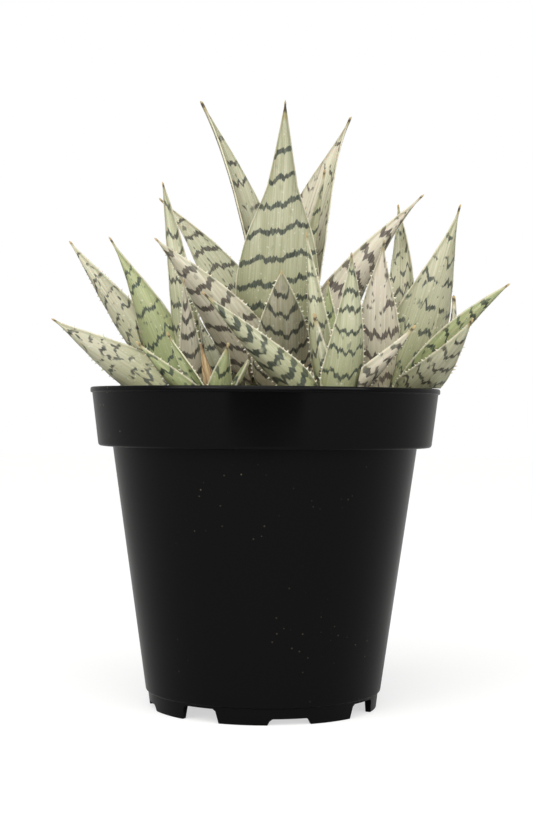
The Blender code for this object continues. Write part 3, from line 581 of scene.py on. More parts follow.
def crumb_finish(name, dark, light_tone, scale):
    """A dull mineral or woody grain: mottled, with no sheen."""
    material, tree, shader = new_material(name)
    place = put(tree, "ShaderNodeTexCoord")
    noise = put(tree, "ShaderNodeTexNoise", {"Vector": place.outputs["Object"],
                                             "Scale": scale, "Detail": 2.0})
    ramp = put(tree, "ShaderNodeValToRGB", {0: noise.outputs["Fac"]})
    ramp.color_ramp.elements[0].position = 0.35
    ramp.color_ramp.elements[0].color = linear(dark)
    ramp.color_ramp.elements[1].position = 0.65
    ramp.color_ramp.elements[1].color = linear(light_tone)
    fill(tree, shader, {"Base Color": ramp.outputs[0], "Roughness": 0.85})
    return material


def stem_flesh():
    """Short aloe stem, fleshy with dry leaf scars: green-cream with brown rings."""
    material, tree, shader = new_material("aloe_stem_flesh")
    place = put(tree, "ShaderNodeTexCoord")
    stretch = put(tree, "ShaderNodeMapping", {"Vector": place.outputs["Object"],
                                              "Scale": (90.0, 90.0, 500.0)})
    noise = put(tree, "ShaderNodeTexNoise", {"Vector": stretch.outputs[0], "Scale": 1.0,
                                             "Detail": 3.0})
    ramp = put(tree, "ShaderNodeValToRGB", {0: noise.outputs["Fac"]})
    ramp.color_ramp.elements[0].position = 0.35
    ramp.color_ramp.elements[0].color = linear("#6d5a3a")
    ramp.color_ramp.elements[1].position = 0.65
    ramp.color_ramp.elements[1].color = linear("#aeae84")
    bump = put(tree, "ShaderNodeBump", {"Height": noise.outputs["Fac"], "Strength": 0.6,
                                        "Distance": 0.0006})
    fill(tree, shader, {"Base Color": ramp.outputs[0], "Roughness": 0.6,
                        "Normal": bump.outputs[0]})
    return material


# Pot

def revolve(name, outline, segments, materials):
    """Turn a closed outline of (radius, height) points about the Z axis."""
    bm = bmesh.new()
    rings = []
    for radius, height in outline:
        if radius == 0.0:
            rings.append([bm.verts.new((0.0, 0.0, height))])
            continue
        ring = []
        for step in range(segments):
            angle = 2.0 * math.pi * step / segments
            ring.append(bm.verts.new((radius * math.cos(angle), radius * math.sin(angle), height)))
        rings.append(ring)
    for upper, lower in zip(rings, rings[1:] + rings[:1]):
        join_rings(bm, upper, lower)
    return add_piece(name, bm, materials)


def join_rings(bm, first, second):
    """Fill between two rings of points; a ring of one point makes a fan."""
    if len(first) == 1 and len(second) == 1:
        return
    count = max(len(first), len(second))
    for step in range(count):
        after = (step + 1) % count
        if len(first) == 1:
            bm.faces.new((first[0], second[after], second[step]))
        elif len(second) == 1:
            bm.faces.new((first[step], first[after], second[0]))
        else:
            bm.faces.new((first[step], first[after], second[after], second[step]))


def wall_radius(height):
    """Outer radius of the tapering body at a height."""
    share = (height - BODY_FOOT_Z) / (BAND_FOOT_Z - BODY_FOOT_Z)
    return BODY_FOOT_RADIUS + share * (BODY_TOP_RADIUS - BODY_FOOT_RADIUS)


def pot_inner_radius(height):
    """Inner radius of the pot wall at a height above the floor."""
    if height < BAND_FOOT_Z:
        return wall_radius(height) - WALL
    share = (height - BAND_FOOT_Z) / (POT_HEIGHT - BAND_FOOT_Z)
    return BAND_FOOT_RADIUS + share * (BAND_TOP_RADIUS - BAND_FOOT_RADIUS) - WALL


def rounded(outline, rounds, steps=4):
    """Round chosen corners of a closed outline; rounds gives a radius for each corner."""
    smooth = []
    count = len(outline)
    for place, (corner, radius) in enumerate(zip(outline, rounds)):
        if radius == 0.0:
            smooth.append(corner)
            continue
        here = Vector(corner)
        before = (Vector(outline[place - 1]) - here).normalized() * radius
        after = (Vector(outline[(place + 1) % count]) - here).normalized() * radius
        for step in range(steps + 1):
            turn = step / steps
            rest = 1.0 - turn
            point = here + before * rest * rest + after * turn * turn
            smooth.append((point.x, point.y))
    return smooth


def notch_cutter(angle, inner, outer, width, low, high, slant):
    """A prism whose sides lean out downwards, set radially at an angle round the foot."""
    bm = bmesh.new()
    bend = 0.9
    profile = [(-width / 2.0 - slant, low), (width / 2.0 + slant, low)]
    if high < FLOOR_TOP_Z:
        profile += [(width / 2.0 + bend * 0.3, high - bend), (width / 2.0 - bend, high),
                    (-width / 2.0 + bend, high), (-width / 2.0 - bend * 0.3, high - bend)]
    else:
        profile += [(width / 2.0, high), (-width / 2.0, high)]
    near = [bm.verts.new((x, -inner, z)) for x, z in profile]
    far = [bm.verts.new((x, -outer, z)) for x, z in profile]
    bm.faces.new(near)
    bm.faces.new(far)
    for step in range(len(profile)):
        after = (step + 1) % len(profile)
        bm.faces.new((near[step], near[after], far[after], far[step]))
    bmesh.ops.rotate(bm, matrix=Matrix.Rotation(math.radians(angle), 3, "Z"), verts=bm.verts)
    return add_piece("notch", bm, [])


def build_pot(plastic):
    lip_foot = POT_HEIGHT - LIP_DEPTH
    ledge = BAND_FOOT_Z + WALL
    outline = [
        (LIP_RADIUS - LIP_DEPTH, POT_HEIGHT),
        (LIP_RADIUS, POT_HEIGHT),
        (LIP_RADIUS, lip_foot),
        (BAND_TOP_RADIUS, lip_foot),
        (BAND_FOOT_RADIUS, BAND_FOOT_Z),
        (BODY_TOP_RADIUS, BAND_FOOT_Z),
        (BODY_FOOT_RADIUS, BODY_FOOT_Z),
        (FOOT_RING_RADIUS, BODY_FOOT_Z - 0.6),
        (FOOT_TIP_RADIUS, 0.0),
        (FOOT_TIP_RADIUS - FOOT_RING_WALL, 0.0),
        (FOOT_TIP_RADIUS - FOOT_RING_WALL, FLOOR_UNDERSIDE_Z),
        (0.0, FLOOR_UNDERSIDE_Z),
        (0.0, FLOOR_TOP_Z),
        (pot_inner_radius(FLOOR_TOP_Z), FLOOR_TOP_Z),
        (BODY_TOP_RADIUS - WALL, ledge),
        (BAND_FOOT_RADIUS - WALL, ledge),
    ]
    rounds = [0.5, 0.9, 0.7, 0.15, 1.3, 0.4, 0.3, 0.2, 0.4, 0.3, 0.0, 0.0, 0.0, 0.0, 0.3, 0.3]
    pot = revolve("pot_moulding", rounded(outline, rounds), POT_SEGMENTS, [plastic])
    ring_inside = FOOT_TIP_RADIUS - 2.0 * FOOT_RING_WALL
    cutters = []
    for step in range(NOTCHES_ROUND):
        turn = step * 360.0 / NOTCHES_ROUND
        cutters.append(notch_cutter(DRAIN_NOTCH_FIRST + turn, ring_inside, LIP_RADIUS,
                                    DRAIN_NOTCH_WIDTH, -1.0, DRAIN_NOTCH_HEIGHT, NOTCH_SLANT))
        cutters.append(notch_cutter(SHALLOW_GAP_FIRST + turn, ring_inside, LIP_RADIUS,
                                    SHALLOW_GAP_WIDTH, -1.0, SHALLOW_GAP_HEIGHT, NOTCH_SLANT))
        cutters.append(notch_cutter(DRAIN_NOTCH_FIRST + turn, DRAIN_HOLE_INNER,
                                    DRAIN_HOLE_OUTER, DRAIN_HOLE_WIDTH,
                                    FLOOR_UNDERSIDE_Z - 1.0, FLOOR_TOP_Z + 1.0, 0.0))
    cut_away(pot, cutters, "EXACT")
    smooth_round(pot, 30.0)
    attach(pot, "root")
    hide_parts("pot")
    return pot


# Leaves

def leaf_width_share(leaf, along):
    """Width of the blade as a share of its widest part, from foot (0) to tip (1)."""
    reach, hollow = leaf.taper
    from_tip = min(1.0, (1.0 - along) / reach)
    taper = math.sin(from_tip * math.pi / 2.0) ** hollow
    taper = max(taper, min(1.0, leaf.point * (1.0 - along)))
    shoulder = min(1.0, along / SHOULDER_AT)
    shoulder = shoulder * shoulder * (3.0 - 2.0 * shoulder)
    return taper * (BASE_WIDTH_SHARE + (1.0 - BASE_WIDTH_SHARE) * shoulder)


def leaf_line(leaf):
    """Foot, middle handle and tip of the leaf's centre line, and its outward direction."""
    centre_x, centre_y = STEMS[leaf.stem][:2]
    side = Matrix.Rotation(math.radians(leaf.side), 3, "Z") @ Vector((0.0, -1.0, 0.0))
    outward = Matrix.Rotation(math.radians(leaf.face), 3, "Z") @ Vector((0.0, -1.0, 0.0))
    out, up = leaf.foot
    foot = Vector((centre_x, centre_y, up)) + side * out
    tip = Vector(leaf.tip)
    along = (tip - foot).normalized()
    below = (outward - along * outward.dot(along)).normalized()
    beside = along.cross(below)
    handle = (foot + tip) / 2.0 + 2.0 * leaf.bow * below + 2.0 * leaf.sway * beside
    return foot, handle, tip, outward


def leaf_frame(line, along):
    """Point, sideways direction and upper-face direction at a share of the length."""
    foot, handle, tip, outward = line
    rest = 1.0 - along
    point = foot * rest * rest + handle * 2.0 * rest * along + tip * along * along
    heading = ((handle - foot) * rest + (tip - handle) * along).normalized()
    upper = -(outward - heading * outward.dot(heading)).normalized()
    beside = heading.cross(upper)
    return point, beside, upper


def blade_sizes(leaf, along):
    """Half width and thickness of the blade at a share of its length."""
    half = max(TIP_HALF_WIDTH, leaf.width / 2.0 * leaf_width_share(leaf, along))
    thick = TIP_THICKNESS + (leaf.thick - TIP_THICKNESS) * (1.0 - along)
    return half, min(thick, TIP_THICKNESS + half)


def fine_section(leaf, line, along, wave):
    """A smooth ring round the blade: hollow upper face, thin margins, rounded underside."""
    point, beside, upper = leaf_frame(line, along)
    half, thick = blade_sizes(leaf, along)
    lift = thick / 2.0
    rise = leaf.channel * half
    edge = min(MARGIN_THICKNESS / 2.0, half * 0.8)
    half *= 1.0 + wave
    places = []
    for step in range(UPPER_POINTS):
        across = -1.0 + 2.0 * step / (UPPER_POINTS - 1)
        reach = across * (1.0 - 0.35 / max(half, 1.0))
        places.append((reach * half, edge + (rise - 0.0) * across * across
                       - edge * (1.0 - across * across) * 0.6))
    places.append((half, rise + edge * 0.2))
    for step in range(LOWER_POINTS):
        across = 1.0 - 2.0 * step / (LOWER_POINTS - 1)
        reach = across * (1.0 - 0.35 / max(half, 1.0))
        share = abs(across) ** UNDERSIDE_ROUND
        places.append((reach * half, -thick * (1.0 - share) + (rise - edge) * share))
    places.append((-half, rise + edge * 0.2))
    return [point + beside * across + upper * (height + lift) for across, height in places]


def plain_section(leaf, line, along, wider, thicker):
    """Eight points round the room that a blade keeps to itself."""
    point, beside, upper = leaf_frame(line, along)
    half, thick = blade_sizes(leaf, along)
    rise = leaf.channel * (half + wider)
    edge = MARGIN_THICKNESS / 2.0 + thicker
    half += wider
    places = (
        (-half, rise + edge),
        (0.0, thicker),
        (half, rise + edge),
        (half, rise - edge),
        (half * KEEL_AT, -thick * KEEL_DEPTH - thicker),
        (0.0, -thick - thicker),
        (-half * KEEL_AT, -thick * KEEL_DEPTH - thicker),
        (-half, rise - edge),
    )
    lift = thick / 2.0
    return [point + beside * across + upper * (height + lift) for across, height in places]


def close_blade(bm, rings, line, overrun):
    """Join the rings of a blade and close its foot and its point."""
    foot, handle, tip, outward = line
    point = bm.verts.new(tip + (tip - handle).normalized() * overrun)
    for lower, upper in zip(rings, rings[1:]):
        join_rings(bm, lower, upper)
    join_rings(bm, rings[-1], [point])
    bm.faces.new(rings[0])


def build_blade(name, leaf, line):
    """The smooth blade of a leaf from foot to tip."""
    chance = random.Random(name)
    turns = chance.uniform(5.0, 8.0)
    start = chance.uniform(0.0, 6.0)
    bm = bmesh.new()
    rings = []
    for step in range(BLADE_STATIONS):
        along = step / (BLADE_STATIONS - 0.5)
        wave = 0.014 * math.sin(turns * 2.0 * math.pi * along + start)
        rings.append([bm.verts.new(place) for place in fine_section(leaf, line, along, wave)])
    close_blade(bm, rings, line, TIP_HALF_WIDTH)
    return add_piece(name + "_grown", bm, [])


def build_clearance(leaf):
    """The room that a leaf and its teeth keep to themselves."""
    line = leaf_line(leaf)
    bm = bmesh.new()
    rings = []
    wider = leaf.tooth * 1.35 + CLEARANCE_GROWTH
    for step in range(CLEARANCE_STATIONS):
        section = plain_section(leaf, line, step / (CLEARANCE_STATIONS - 0.5), wider,
                                CLEARANCE_GROWTH)
        rings.append([bm.verts.new(place) for place in section])
    close_blade(bm, rings, line, TIP_HALF_WIDTH + CLEARANCE_GROWTH)
    bmesh.ops.triangulate(bm, faces=bm.faces)
    return add_piece("clearance", bm, [])


def build_stem(key, grow=0.0):
    """A stem tapers upwards from the mix; a grown one makes room for itself."""
    centre_x, centre_y, top, radius = STEMS[key]
    bm = bmesh.new()
    low = SOIL_TOP_Z - 14.0 + GAP
    profile = [(radius, low - grow), (radius, SOIL_TOP_Z)]
    if grow == 0.0:
        rises = 5
        for step in range(1, rises):
            share = step / rises
            profile.append((radius * (1.0 - (1.0 - STEM_TOP_SHARE) * share),
                            SOIL_TOP_Z + share * (top - radius * STEM_TOP_SHARE - SOIL_TOP_Z)))
    profile += [(radius * STEM_TOP_SHARE, top - radius * STEM_TOP_SHARE),
                (radius * STEM_TOP_SHARE * 0.5, top + grow)]
    rings = []
    for radius_here, height in profile:
        ring = []
        for step in range(STEM_SIDES):
            angle = 2.0 * math.pi * (step + 0.5) / STEM_SIDES
            reach = radius_here + grow
            ring.append(bm.verts.new((centre_x + reach * math.cos(angle),
                                      centre_y + reach * math.sin(angle), height)))
        rings.append(ring)
    for lower, upper in zip(rings, rings[1:]):
        join_rings(bm, lower, upper)
    bm.faces.new(rings[0])
    bm.faces.new(rings[-1])
    return add_piece("stem_" + key + "_grown", bm, [])


def near_each_other(first, second):
    """Whether two pieces' boxes meet."""
    for axis in range(3):
        first_low = min(corner[axis] for corner in first.bound_box)
        first_high = max(corner[axis] for corner in first.bound_box)
        second_low = min(corner[axis] for corner in second.bound_box)
        second_high = max(corner[axis] for corner in second.bound_box)
        if first_low > second_high or second_low > first_high:
            return False
    return True


def lip_clearance():
    """The room that the lip of the pot needs under the leaves that pass over it."""
    inner = LIP_RADIUS - LIP_DEPTH - GAP - 0.6
    outline = [(inner, POT_HEIGHT + GAP), (LIP_RADIUS + GAP, POT_HEIGHT + GAP),
               (LIP_RADIUS + GAP, BAND_FOOT_Z), (BAND_FOOT_RADIUS - WALL - GAP - 0.6, BAND_FOOT_Z)]
    return revolve("clearance", outline, 88, [])


def soil_clearance():
    """A flat block that keeps the leaves clear of the top of the mix."""
    bm = bmesh.new()
    bmesh.ops.create_cube(bm, size=1.0)
    bmesh.ops.scale(bm, vec=Vector((200.0, 200.0, 30.0)), verts=bm.verts)
    bmesh.ops.translate(bm, vec=Vector((0.0, 0.0, SOIL_TOP_Z + GAP - 15.0)), verts=bm.verts)
    return add_piece("clearance", bm, [])


def keep_largest(piece):
    """Keep only the largest closed body of a trimmed blade."""
    bm = bmesh.new()
    bm.from_mesh(piece.data)
    left = set(bm.verts)
    bodies = []
    while left:
        body = set()
        edge_of_search = [left.pop()]
        while edge_of_search:
            vert = edge_of_search.pop()
            body.add(vert)
            for link in vert.link_edges:
                other = link.other_vert(vert)
                if other in left:
                    left.remove(other)
                    edge_of_search.append(other)
        bodies.append(body)
    bodies.sort(key=len)
    for body in bodies[:-1]:
        bmesh.ops.delete(bm, geom=list(body), context="VERTS")
    bm.to_mesh(piece.data)
    bm.free()


def as_rows(vectors):
    return np.array([tuple(vector) for vector in vectors], dtype=float)


def place_on_leaf(leaf, line, points):
    """For points in millimetres: share of the length, distance across and height above."""
    foot, handle, tip, outward = [np.array(tuple(vector)) for vector in line]
    chord = tip - foot
    along = np.clip((points - foot) @ chord / (chord @ chord), 0.0, 1.0)
    for _ in range(12):
        rest = (1.0 - along)[:, None]
        part = along[:, None]
        here = foot * rest * rest + handle * 2.0 * rest * part + tip * part * part
        speed = 2.0 * ((handle - foot) * rest + (tip - handle) * part)
        away = here - points
        turn = 2.0 * (tip - 2.0 * handle + foot)
        slope = (speed * speed).sum(1) + away @ turn
        along = np.clip(along - (away * speed).sum(1) / np.maximum(slope, 1e-6), -0.1, 1.05)
    rest = (1.0 - along)[:, None]
    part = along[:, None]
    here = foot * rest * rest + handle * 2.0 * rest * part + tip * part * part
    heading = (handle - foot) * rest + (tip - handle) * part
    heading /= np.linalg.norm(heading, axis=1)[:, None]
    upper = -(outward - heading * (heading @ outward)[:, None])
    upper /= np.linalg.norm(upper, axis=1)[:, None]
    beside = np.cross(heading, upper)
    away = points - here
    return along, (away * beside).sum(1), (away * upper).sum(1)


def inside_leaf(leaf, line, points, margin):
    """Which points lie within a leaf's blade, grown by a margin."""
    along, across, height = place_on_leaf(leaf, line, points)
    shares = np.linspace(0.0, 1.0, 41)
    sizes = np.array([blade_sizes(leaf, share) for share in shares])
    half = np.interp(along, shares, sizes[:, 0]) + margin
    thick = np.interp(along, shares, sizes[:, 1])
    part = np.abs(across) / half
    rise = leaf.channel * half * part
    level = height - thick / 2.0
    return ((part < 1.0) & (along < 1.0) & (along > 0.0) & (level < rise + margin)
            & (level > -thick * (1.0 - part ** 2) - margin))


def paint_places(name, leaf, line, piece):
    """Store where each point lies on its leaf, for the leaf skin to read."""
    mesh = piece.data
    points = as_rows(vert.co for vert in mesh.vertices) / MM
    along, across, height = place_on_leaf(leaf, line, points)
    shares = np.linspace(0.0, 1.0, 65)
    course = as_rows(leaf_frame(line, share)[0] for share in shares)
    steps = np.linalg.norm(np.diff(course, axis=0), axis=1)
    walked = np.concatenate([[0.0], np.cumsum(steps)])
    length = walked[-1]
    from_tip = length - np.interp(along, shares, walked)
    half = np.interp(along, shares, [blade_sizes(leaf, share)[0] for share in shares])
    chance = random.Random(name)
    bands = BANDS.get(name)
    if bands is None:
        at = [USUAL_FIRST_BAND * chance.uniform(0.8, 1.3)]
        while at[-1] < length:
            at.append(at[-1] + USUAL_SPACING * chance.uniform(0.85, 1.2))
        blush = {"leaf_blush": 0.8, "leaf_pale": 0.2}.get(leaf.finish, 0.0)
        bands = Bands(at, slope=chance.uniform(-0.2, 0.2), smile=chance.uniform(0.5, 3.0),
                      umber=blush * 0.7, broken=chance.uniform(0.25, 0.55), blush=blush,
                      green=0.5 if leaf.finish == "leaf_green" else 0.15)
    at = list(bands.at)
    while at[-1] < length:
        at.append(at[-1] + USUAL_SPACING)
    place = from_tip + bands.slope * across
    place -= bands.smile * (1.0 - (across / half) ** 2)
    lead = USUAL_SPACING * 3.0
    marks = np.array([at[0] - lead, *at])
    numbers = np.arange(-1.0, len(at))
    phase = np.interp(place, marks, numbers)
    gaps = np.diff(marks)
    spacing = gaps[np.clip(np.searchsorted(marks, place) - 1, 0, len(gaps) - 1)]
    rim = half - np.abs(across)
    seed = chance.uniform(0.0, 90.0)
    tip = chance.uniform(2.4, 4.6) if bands.tip is None else bands.tip
    count = len(points)
    columns = {
        "blade": (across, from_tip, 1.0 - along),
        "bands": (phase, spacing, np.full(count, bands.depth)),
        "tone": (np.full(count, bands.umber), np.full(count, bands.broken),
                 np.full(count, bands.blush)),
        # The second number of edge is the leaf's darkening to olive, own tone and painted shade
        "edge": (rim, np.full(count, bands.shade), np.full(count, seed)),
        "cast": (np.full(count, bands.green), np.full(count, tip), np.full(count, bands.lines)),
    }
    for key, parts in columns.items():
        layer = mesh.attributes.new(key, "FLOAT_VECTOR", "POINT")
        layer.data.foreach_set("vector", np.column_stack(parts).astype(np.float32).ravel())


def margin_chains(name, leaf, line, earlier):
    """Two chains of points along the margins, broken where another leaf lies over them."""
    bm = bmesh.new()
    outs = []
    sizes = []
    steps = 60
    for side in (-1.0, 1.0):
        last = None
        places = []
        for step in range(steps):
            along = TEETH_FROM + (TEETH_TO - TEETH_FROM) * step / (steps - 1)
            point, beside, upper = leaf_frame(line, along)
            half, thick = blade_sizes(leaf, along)
            margin = point + beside * side * (half - 0.25)
            margin += upper * (thick / 2.0 + leaf.channel * half)
            places.append((margin, beside * side, min(1.0, 0.55 + half / 12.0)))
        points = as_rows(place[0] for place in places)
        covered = points[:, 2] < SOIL_TOP_Z + 1.0
        reach = np.hypot(points[:, 0], points[:, 1])
        covered |= (reach > LIP_RADIUS - LIP_DEPTH - 2.0) & (points[:, 2] < POT_HEIGHT + 1.0)
        for key, (centre_x, centre_y, top, radius) in STEMS.items():
            near = np.hypot(points[:, 0] - centre_x, points[:, 1] - centre_y) < radius + 1.0
            covered |= near & (points[:, 2] < top + 1.0)
        for other in earlier:
            covered |= inside_leaf(other, leaf_line(other), points, other.tooth + 0.8)
        for (margin, out, size), hidden in zip(places, covered):
            if hidden:
                last = None
                continue
            vert = bm.verts.new(margin)
            outs.append(out)
            sizes.append(size)
            if last is not None:
                bm.edges.new((last, vert))
            last = vert
    chain = add_piece(name + "_margin", bm, [])
    mesh = chain.data
    layer = mesh.attributes.new("out", "FLOAT_VECTOR", "POINT")
    layer.data.foreach_set("vector", as_rows(outs).astype(np.float32).ravel())
    layer = mesh.attributes.new("size", "FLOAT", "POINT")
    layer.data.foreach_set("value", np.array(sizes, dtype=np.float32))
    return chain


def teeth_tree(horn):
    """Geometry nodes that set a row of small hooked teeth along every chain of points."""
    tree = bpy.data.node_groups.new("marginal_teeth", "GeometryNodeTree")
    face = tree.interface
    face.new_socket("Geometry", in_out="INPUT", socket_type="NodeSocketGeometry")
    wanted = {"Spacing": 0.0023, "Height": 0.0011, "Foot": 0.0005, "Hook": 0.0004}
    for label, value in wanted.items():
        socket = face.new_socket(label, in_out="INPUT", socket_type="NodeSocketFloat")
        socket.default_value = value
    face.new_socket("Seed", in_out="INPUT", socket_type="NodeSocketInt")
    face.new_socket("Geometry", in_out="OUTPUT", socket_type="NodeSocketGeometry")
    given = put(tree, "NodeGroupInput").outputs
    curve = put(tree, "GeometryNodeMeshToCurve", {"Mesh": given["Geometry"]})
    spaced = put(tree, "GeometryNodeResampleCurve", {"Curve": curve.outputs[0],
                                                     "Length": given["Spacing"]},
                 mode="LENGTH")
    out = put(tree, "GeometryNodeInputNamedAttribute", {"Name": "out"},
              data_type="FLOAT_VECTOR")
    size = put(tree, "GeometryNodeInputNamedAttribute", {"Name": "size"}, data_type="FLOAT")
    tangent = put(tree, "GeometryNodeInputTangent")
    cone = put(tree, "GeometryNodeMeshCone", {"Vertices": 5, "Side Segments": 2,
                                              "Radius Top": 0.00006,
                                              "Radius Bottom": given["Foot"],
                                              "Depth": given["Height"]})
    where = put(tree, "GeometryNodeInputPosition")
    high = put(tree, "ShaderNodeSeparateXYZ", {0: where.outputs[0]})
    share = put(tree, "ShaderNodeMath", {0: high.outputs[2], 1: given["Height"]},
                operation="DIVIDE")
    square = put(tree, "ShaderNodeMath", {0: share.outputs[0], 1: 2.0}, operation="POWER")
    lean = put(tree, "ShaderNodeMath", {0: square.outputs[0], 1: given["Hook"]},
               operation="MULTIPLY")
    leaning = put(tree, "ShaderNodeCombineXYZ", {0: lean.outputs[0]})
    hooked = put(tree, "GeometryNodeSetPosition", {"Geometry": cone.outputs["Mesh"],
                                                   "Offset": leaning.outputs[0]})
    stand = put(tree, "FunctionNodeAlignRotationToVector", {"Vector": out.outputs[0]}, axis="Z")
    turn = put(tree, "FunctionNodeAlignRotationToVector",
               {"Rotation": stand.outputs[0], "Vector": tangent.outputs[0]},
               axis="X", pivot_axis="Z")
    vary = put(tree, "FunctionNodeRandomValue", {"Seed": given["Seed"]})
    scale = put(tree, "ShaderNodeMath", {0: vary.outputs[1], 1: size.outputs[0]},
                operation="MULTIPLY")
    fill(tree, vary, {2: 0.35, 3: 1.3})
    grown = put(tree, "GeometryNodeInstanceOnPoints",
                {"Points": spaced.outputs[0], "Instance": hooked.outputs[0],
                 "Rotation": turn.outputs[0], "Scale": scale.outputs[0]})
    real = put(tree, "GeometryNodeRealizeInstances", {"Geometry": grown.outputs[0]})
    dressed = put(tree, "GeometryNodeSetMaterial", {"Geometry": real.outputs[0],
                                                    "Material": horn})
    result = put(tree, "NodeGroupOutput")
    tree.links.new(dressed.outputs[0], result.inputs[0])
    return tree


def run_nodes(piece, tree, values):
    """Run a node tree on a piece and keep the result as a plain mesh."""
    steps = piece.modifiers.new("nodes", "NODES")
    steps.node_group = tree
    for item in tree.interface.items_tree:
        if item.item_type == "SOCKET" and item.in_out == "INPUT" and item.name in values:
            steps[item.identifier] = values[item.name]
    piece.update_tag()
    bpy.context.view_layer.update()
    bake_modifiers(piece)


def join_into(piece, others):
    """Make the others part of a piece's mesh."""
    with bpy.context.temp_override(active_object=piece,
                                   selected_editable_objects=[piece, *others]):
        bpy.ops.object.join()


def build_leaf(name, leaf, earlier, skins, horn_tree, horn):
    """One finished leaf: trimmed blade, painted places and marginal teeth."""
    line = leaf_line(leaf)
    piece = build_blade(name, leaf, line)
    cutters = [soil_clearance(), lip_clearance()]
    cutters += [build_stem(key, grow=GAP) for key in STEMS]
    cutters += [build_clearance(other) for other in earlier]
    for cutter in list(cutters):
        if not near_each_other(piece, cutter):
            cutters.remove(cutter)
            bpy.data.objects.remove(cutter, do_unlink=True)
    cut_away(piece, cutters, "MANIFOLD")
    keep_largest(piece)
    piece.data.materials.clear()
    piece.data.materials.append(skins[leaf.finish])
    piece.data.materials.append(horn)
    smooth_round(piece, 42.0)
    paint_places(name, leaf, line, piece)
    chain = margin_chains(name, leaf, line, earlier)
    tooth = (leaf.tooth - 0.15) * TOOTH_GROWTH
    run_nodes(chain, horn_tree, {"Height": tooth * MM,
                                 "Foot": tooth * 0.52 * MM,
                                 "Hook": tooth * 0.4 * MM,
                                 "Spacing": 0.0022 if leaf.width > 12 else 0.0018,
                                 "Seed": len(earlier)})
    if len(chain.data.vertices):
        join_into(piece, [chain])
    else:
        bpy.data.objects.remove(chain, do_unlink=True)
    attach(piece, "root")
    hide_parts(name)
    return piece


def build_leaves(skins, horn):
    earlier = []
    tree = teeth_tree(horn)
    for name, leaf in LEAVES.items():
        build_leaf(name, leaf, earlier, skins, tree, horn)
        earlier.append(leaf)


def build_stems(flesh):
    for key in STEMS:
        stem = build_stem(key)
        stem.data.materials.append(flesh)
        smooth_round(stem, 40.0)
        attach(stem, "root")
        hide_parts("stem_" + key)


# Growing mix

def dress_soil(mix):
    """The mix keeps its solid form and gets the crumbly finish."""
    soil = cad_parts["soil"]
    for slot in soil.material_slots:
        slot.material = mix


def open_places(seed, count, height, margin):
    """Random places on the mix that no leaf or stem stands on, in millimetres."""
    chance = np.random.default_rng(seed)
    reach = (SOIL_RADIUS - margin) * np.sqrt(chance.random(count))
    turn = 2.0 * math.pi * chance.random(count)
    points = np.column_stack([reach * np.cos(turn), reach * np.sin(turn),
                              np.full(count, height)])
    taken = np.zeros(count, dtype=bool)
    for centre_x, centre_y, top, radius in STEMS.values():
        taken |= np.hypot(points[:, 0] - centre_x, points[:, 1] - centre_y) < radius + margin
    for leaf in LEAVES.values():
        taken |= inside_leaf(leaf, leaf_line(leaf), points, margin)
    return points[~taken]


def crumb_tree(name, finish):
    """Geometry nodes that set one turned, stretched crumb on every point."""
    tree = bpy.data.node_groups.new(name, "GeometryNodeTree")
    face = tree.interface
    face.new_socket("Geometry", in_out="INPUT", socket_type="NodeSocketGeometry")
    for label in ("Radius", "Least", "Most", "Flatness"):
        face.new_socket(label, in_out="INPUT", socket_type="NodeSocketFloat")
    face.new_socket("Seed", in_out="INPUT", socket_type="NodeSocketInt")
    face.new_socket("Geometry", in_out="OUTPUT", socket_type="NodeSocketGeometry")
    given = put(tree, "NodeGroupInput").outputs
    ball = put(tree, "GeometryNodeMeshIcoSphere", {"Radius": given["Radius"],
                                                   "Subdivisions": 1})
    stretch = put(tree, "ShaderNodeCombineXYZ", {0: 1.3, 1: 0.8, 2: given["Flatness"]})
    crumb = put(tree, "GeometryNodeTransform", {"Geometry": ball.outputs["Mesh"],
                                                "Scale": stretch.outputs[0]})
    turn = put(tree, "FunctionNodeRandomValue", {"Seed": given["Seed"]},
               data_type="FLOAT_VECTOR")
    fill(tree, turn, {0: (-0.35, -0.35, 0.0), 1: (0.35, 0.35, 6.28)})
    size = put(tree, "FunctionNodeRandomValue", {"Seed": given["Seed"]})
    fill(tree, size, {2: given["Least"], 3: given["Most"]})
    laid = put(tree, "GeometryNodeInstanceOnPoints",
               {"Points": given["Geometry"], "Instance": crumb.outputs[0],
                "Rotation": turn.outputs[0], "Scale": size.outputs[1]})
    real = put(tree, "GeometryNodeRealizeInstances", {"Geometry": laid.outputs[0]})
    dressed = put(tree, "GeometryNodeSetMaterial", {"Geometry": real.outputs[0],
                                                    "Material": finish})
    result = put(tree, "NodeGroupOutput")
    tree.links.new(dressed.outputs[0], result.inputs[0])
    return tree


def scatter_crumbs(name, seed, count, radius, spread, flatness, finish):
    """Loose grains of one kind, half sunk in the mix."""
    largest = radius * spread[1]
    points = open_places(seed, count, SOIL_TOP_Z + 0.1, largest * 1.3 + 0.4)
    bm = bmesh.new()
    for point in points:
        bm.verts.new(point)
    grains = add_piece(name, bm, [finish])
    run_nodes(grains, crumb_tree(name + "_laid", finish),
              {"Radius": radius * MM, "Least": spread[0], "Most": spread[1],
               "Flatness": flatness, "Seed": seed})
    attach(grains, "root")


def scatter_mix(mix):
    """The loose top of the mix: peat crumbs, bark chips and a little perlite."""
    bark = crumb_finish("composted_bark", "#3a281b", "#7c5c40", 260.0)
    perlite = crumb_finish("expanded_perlite", "#bdb7a6", "#e9e6dc", 900.0)
    scatter_crumbs("peat_crumbs", 3, 5200, 1.0, (0.5, 1.5), 0.8, mix)
    scatter_crumbs("bark_chips", 5, 700, 2.0, (0.6, 1.5), 0.35, bark)
    scatter_crumbs("perlite_grains", 8, 170, 0.9, (0.6, 1.5), 0.9, perlite)


# Studio

FLAG_REACH = 4.0


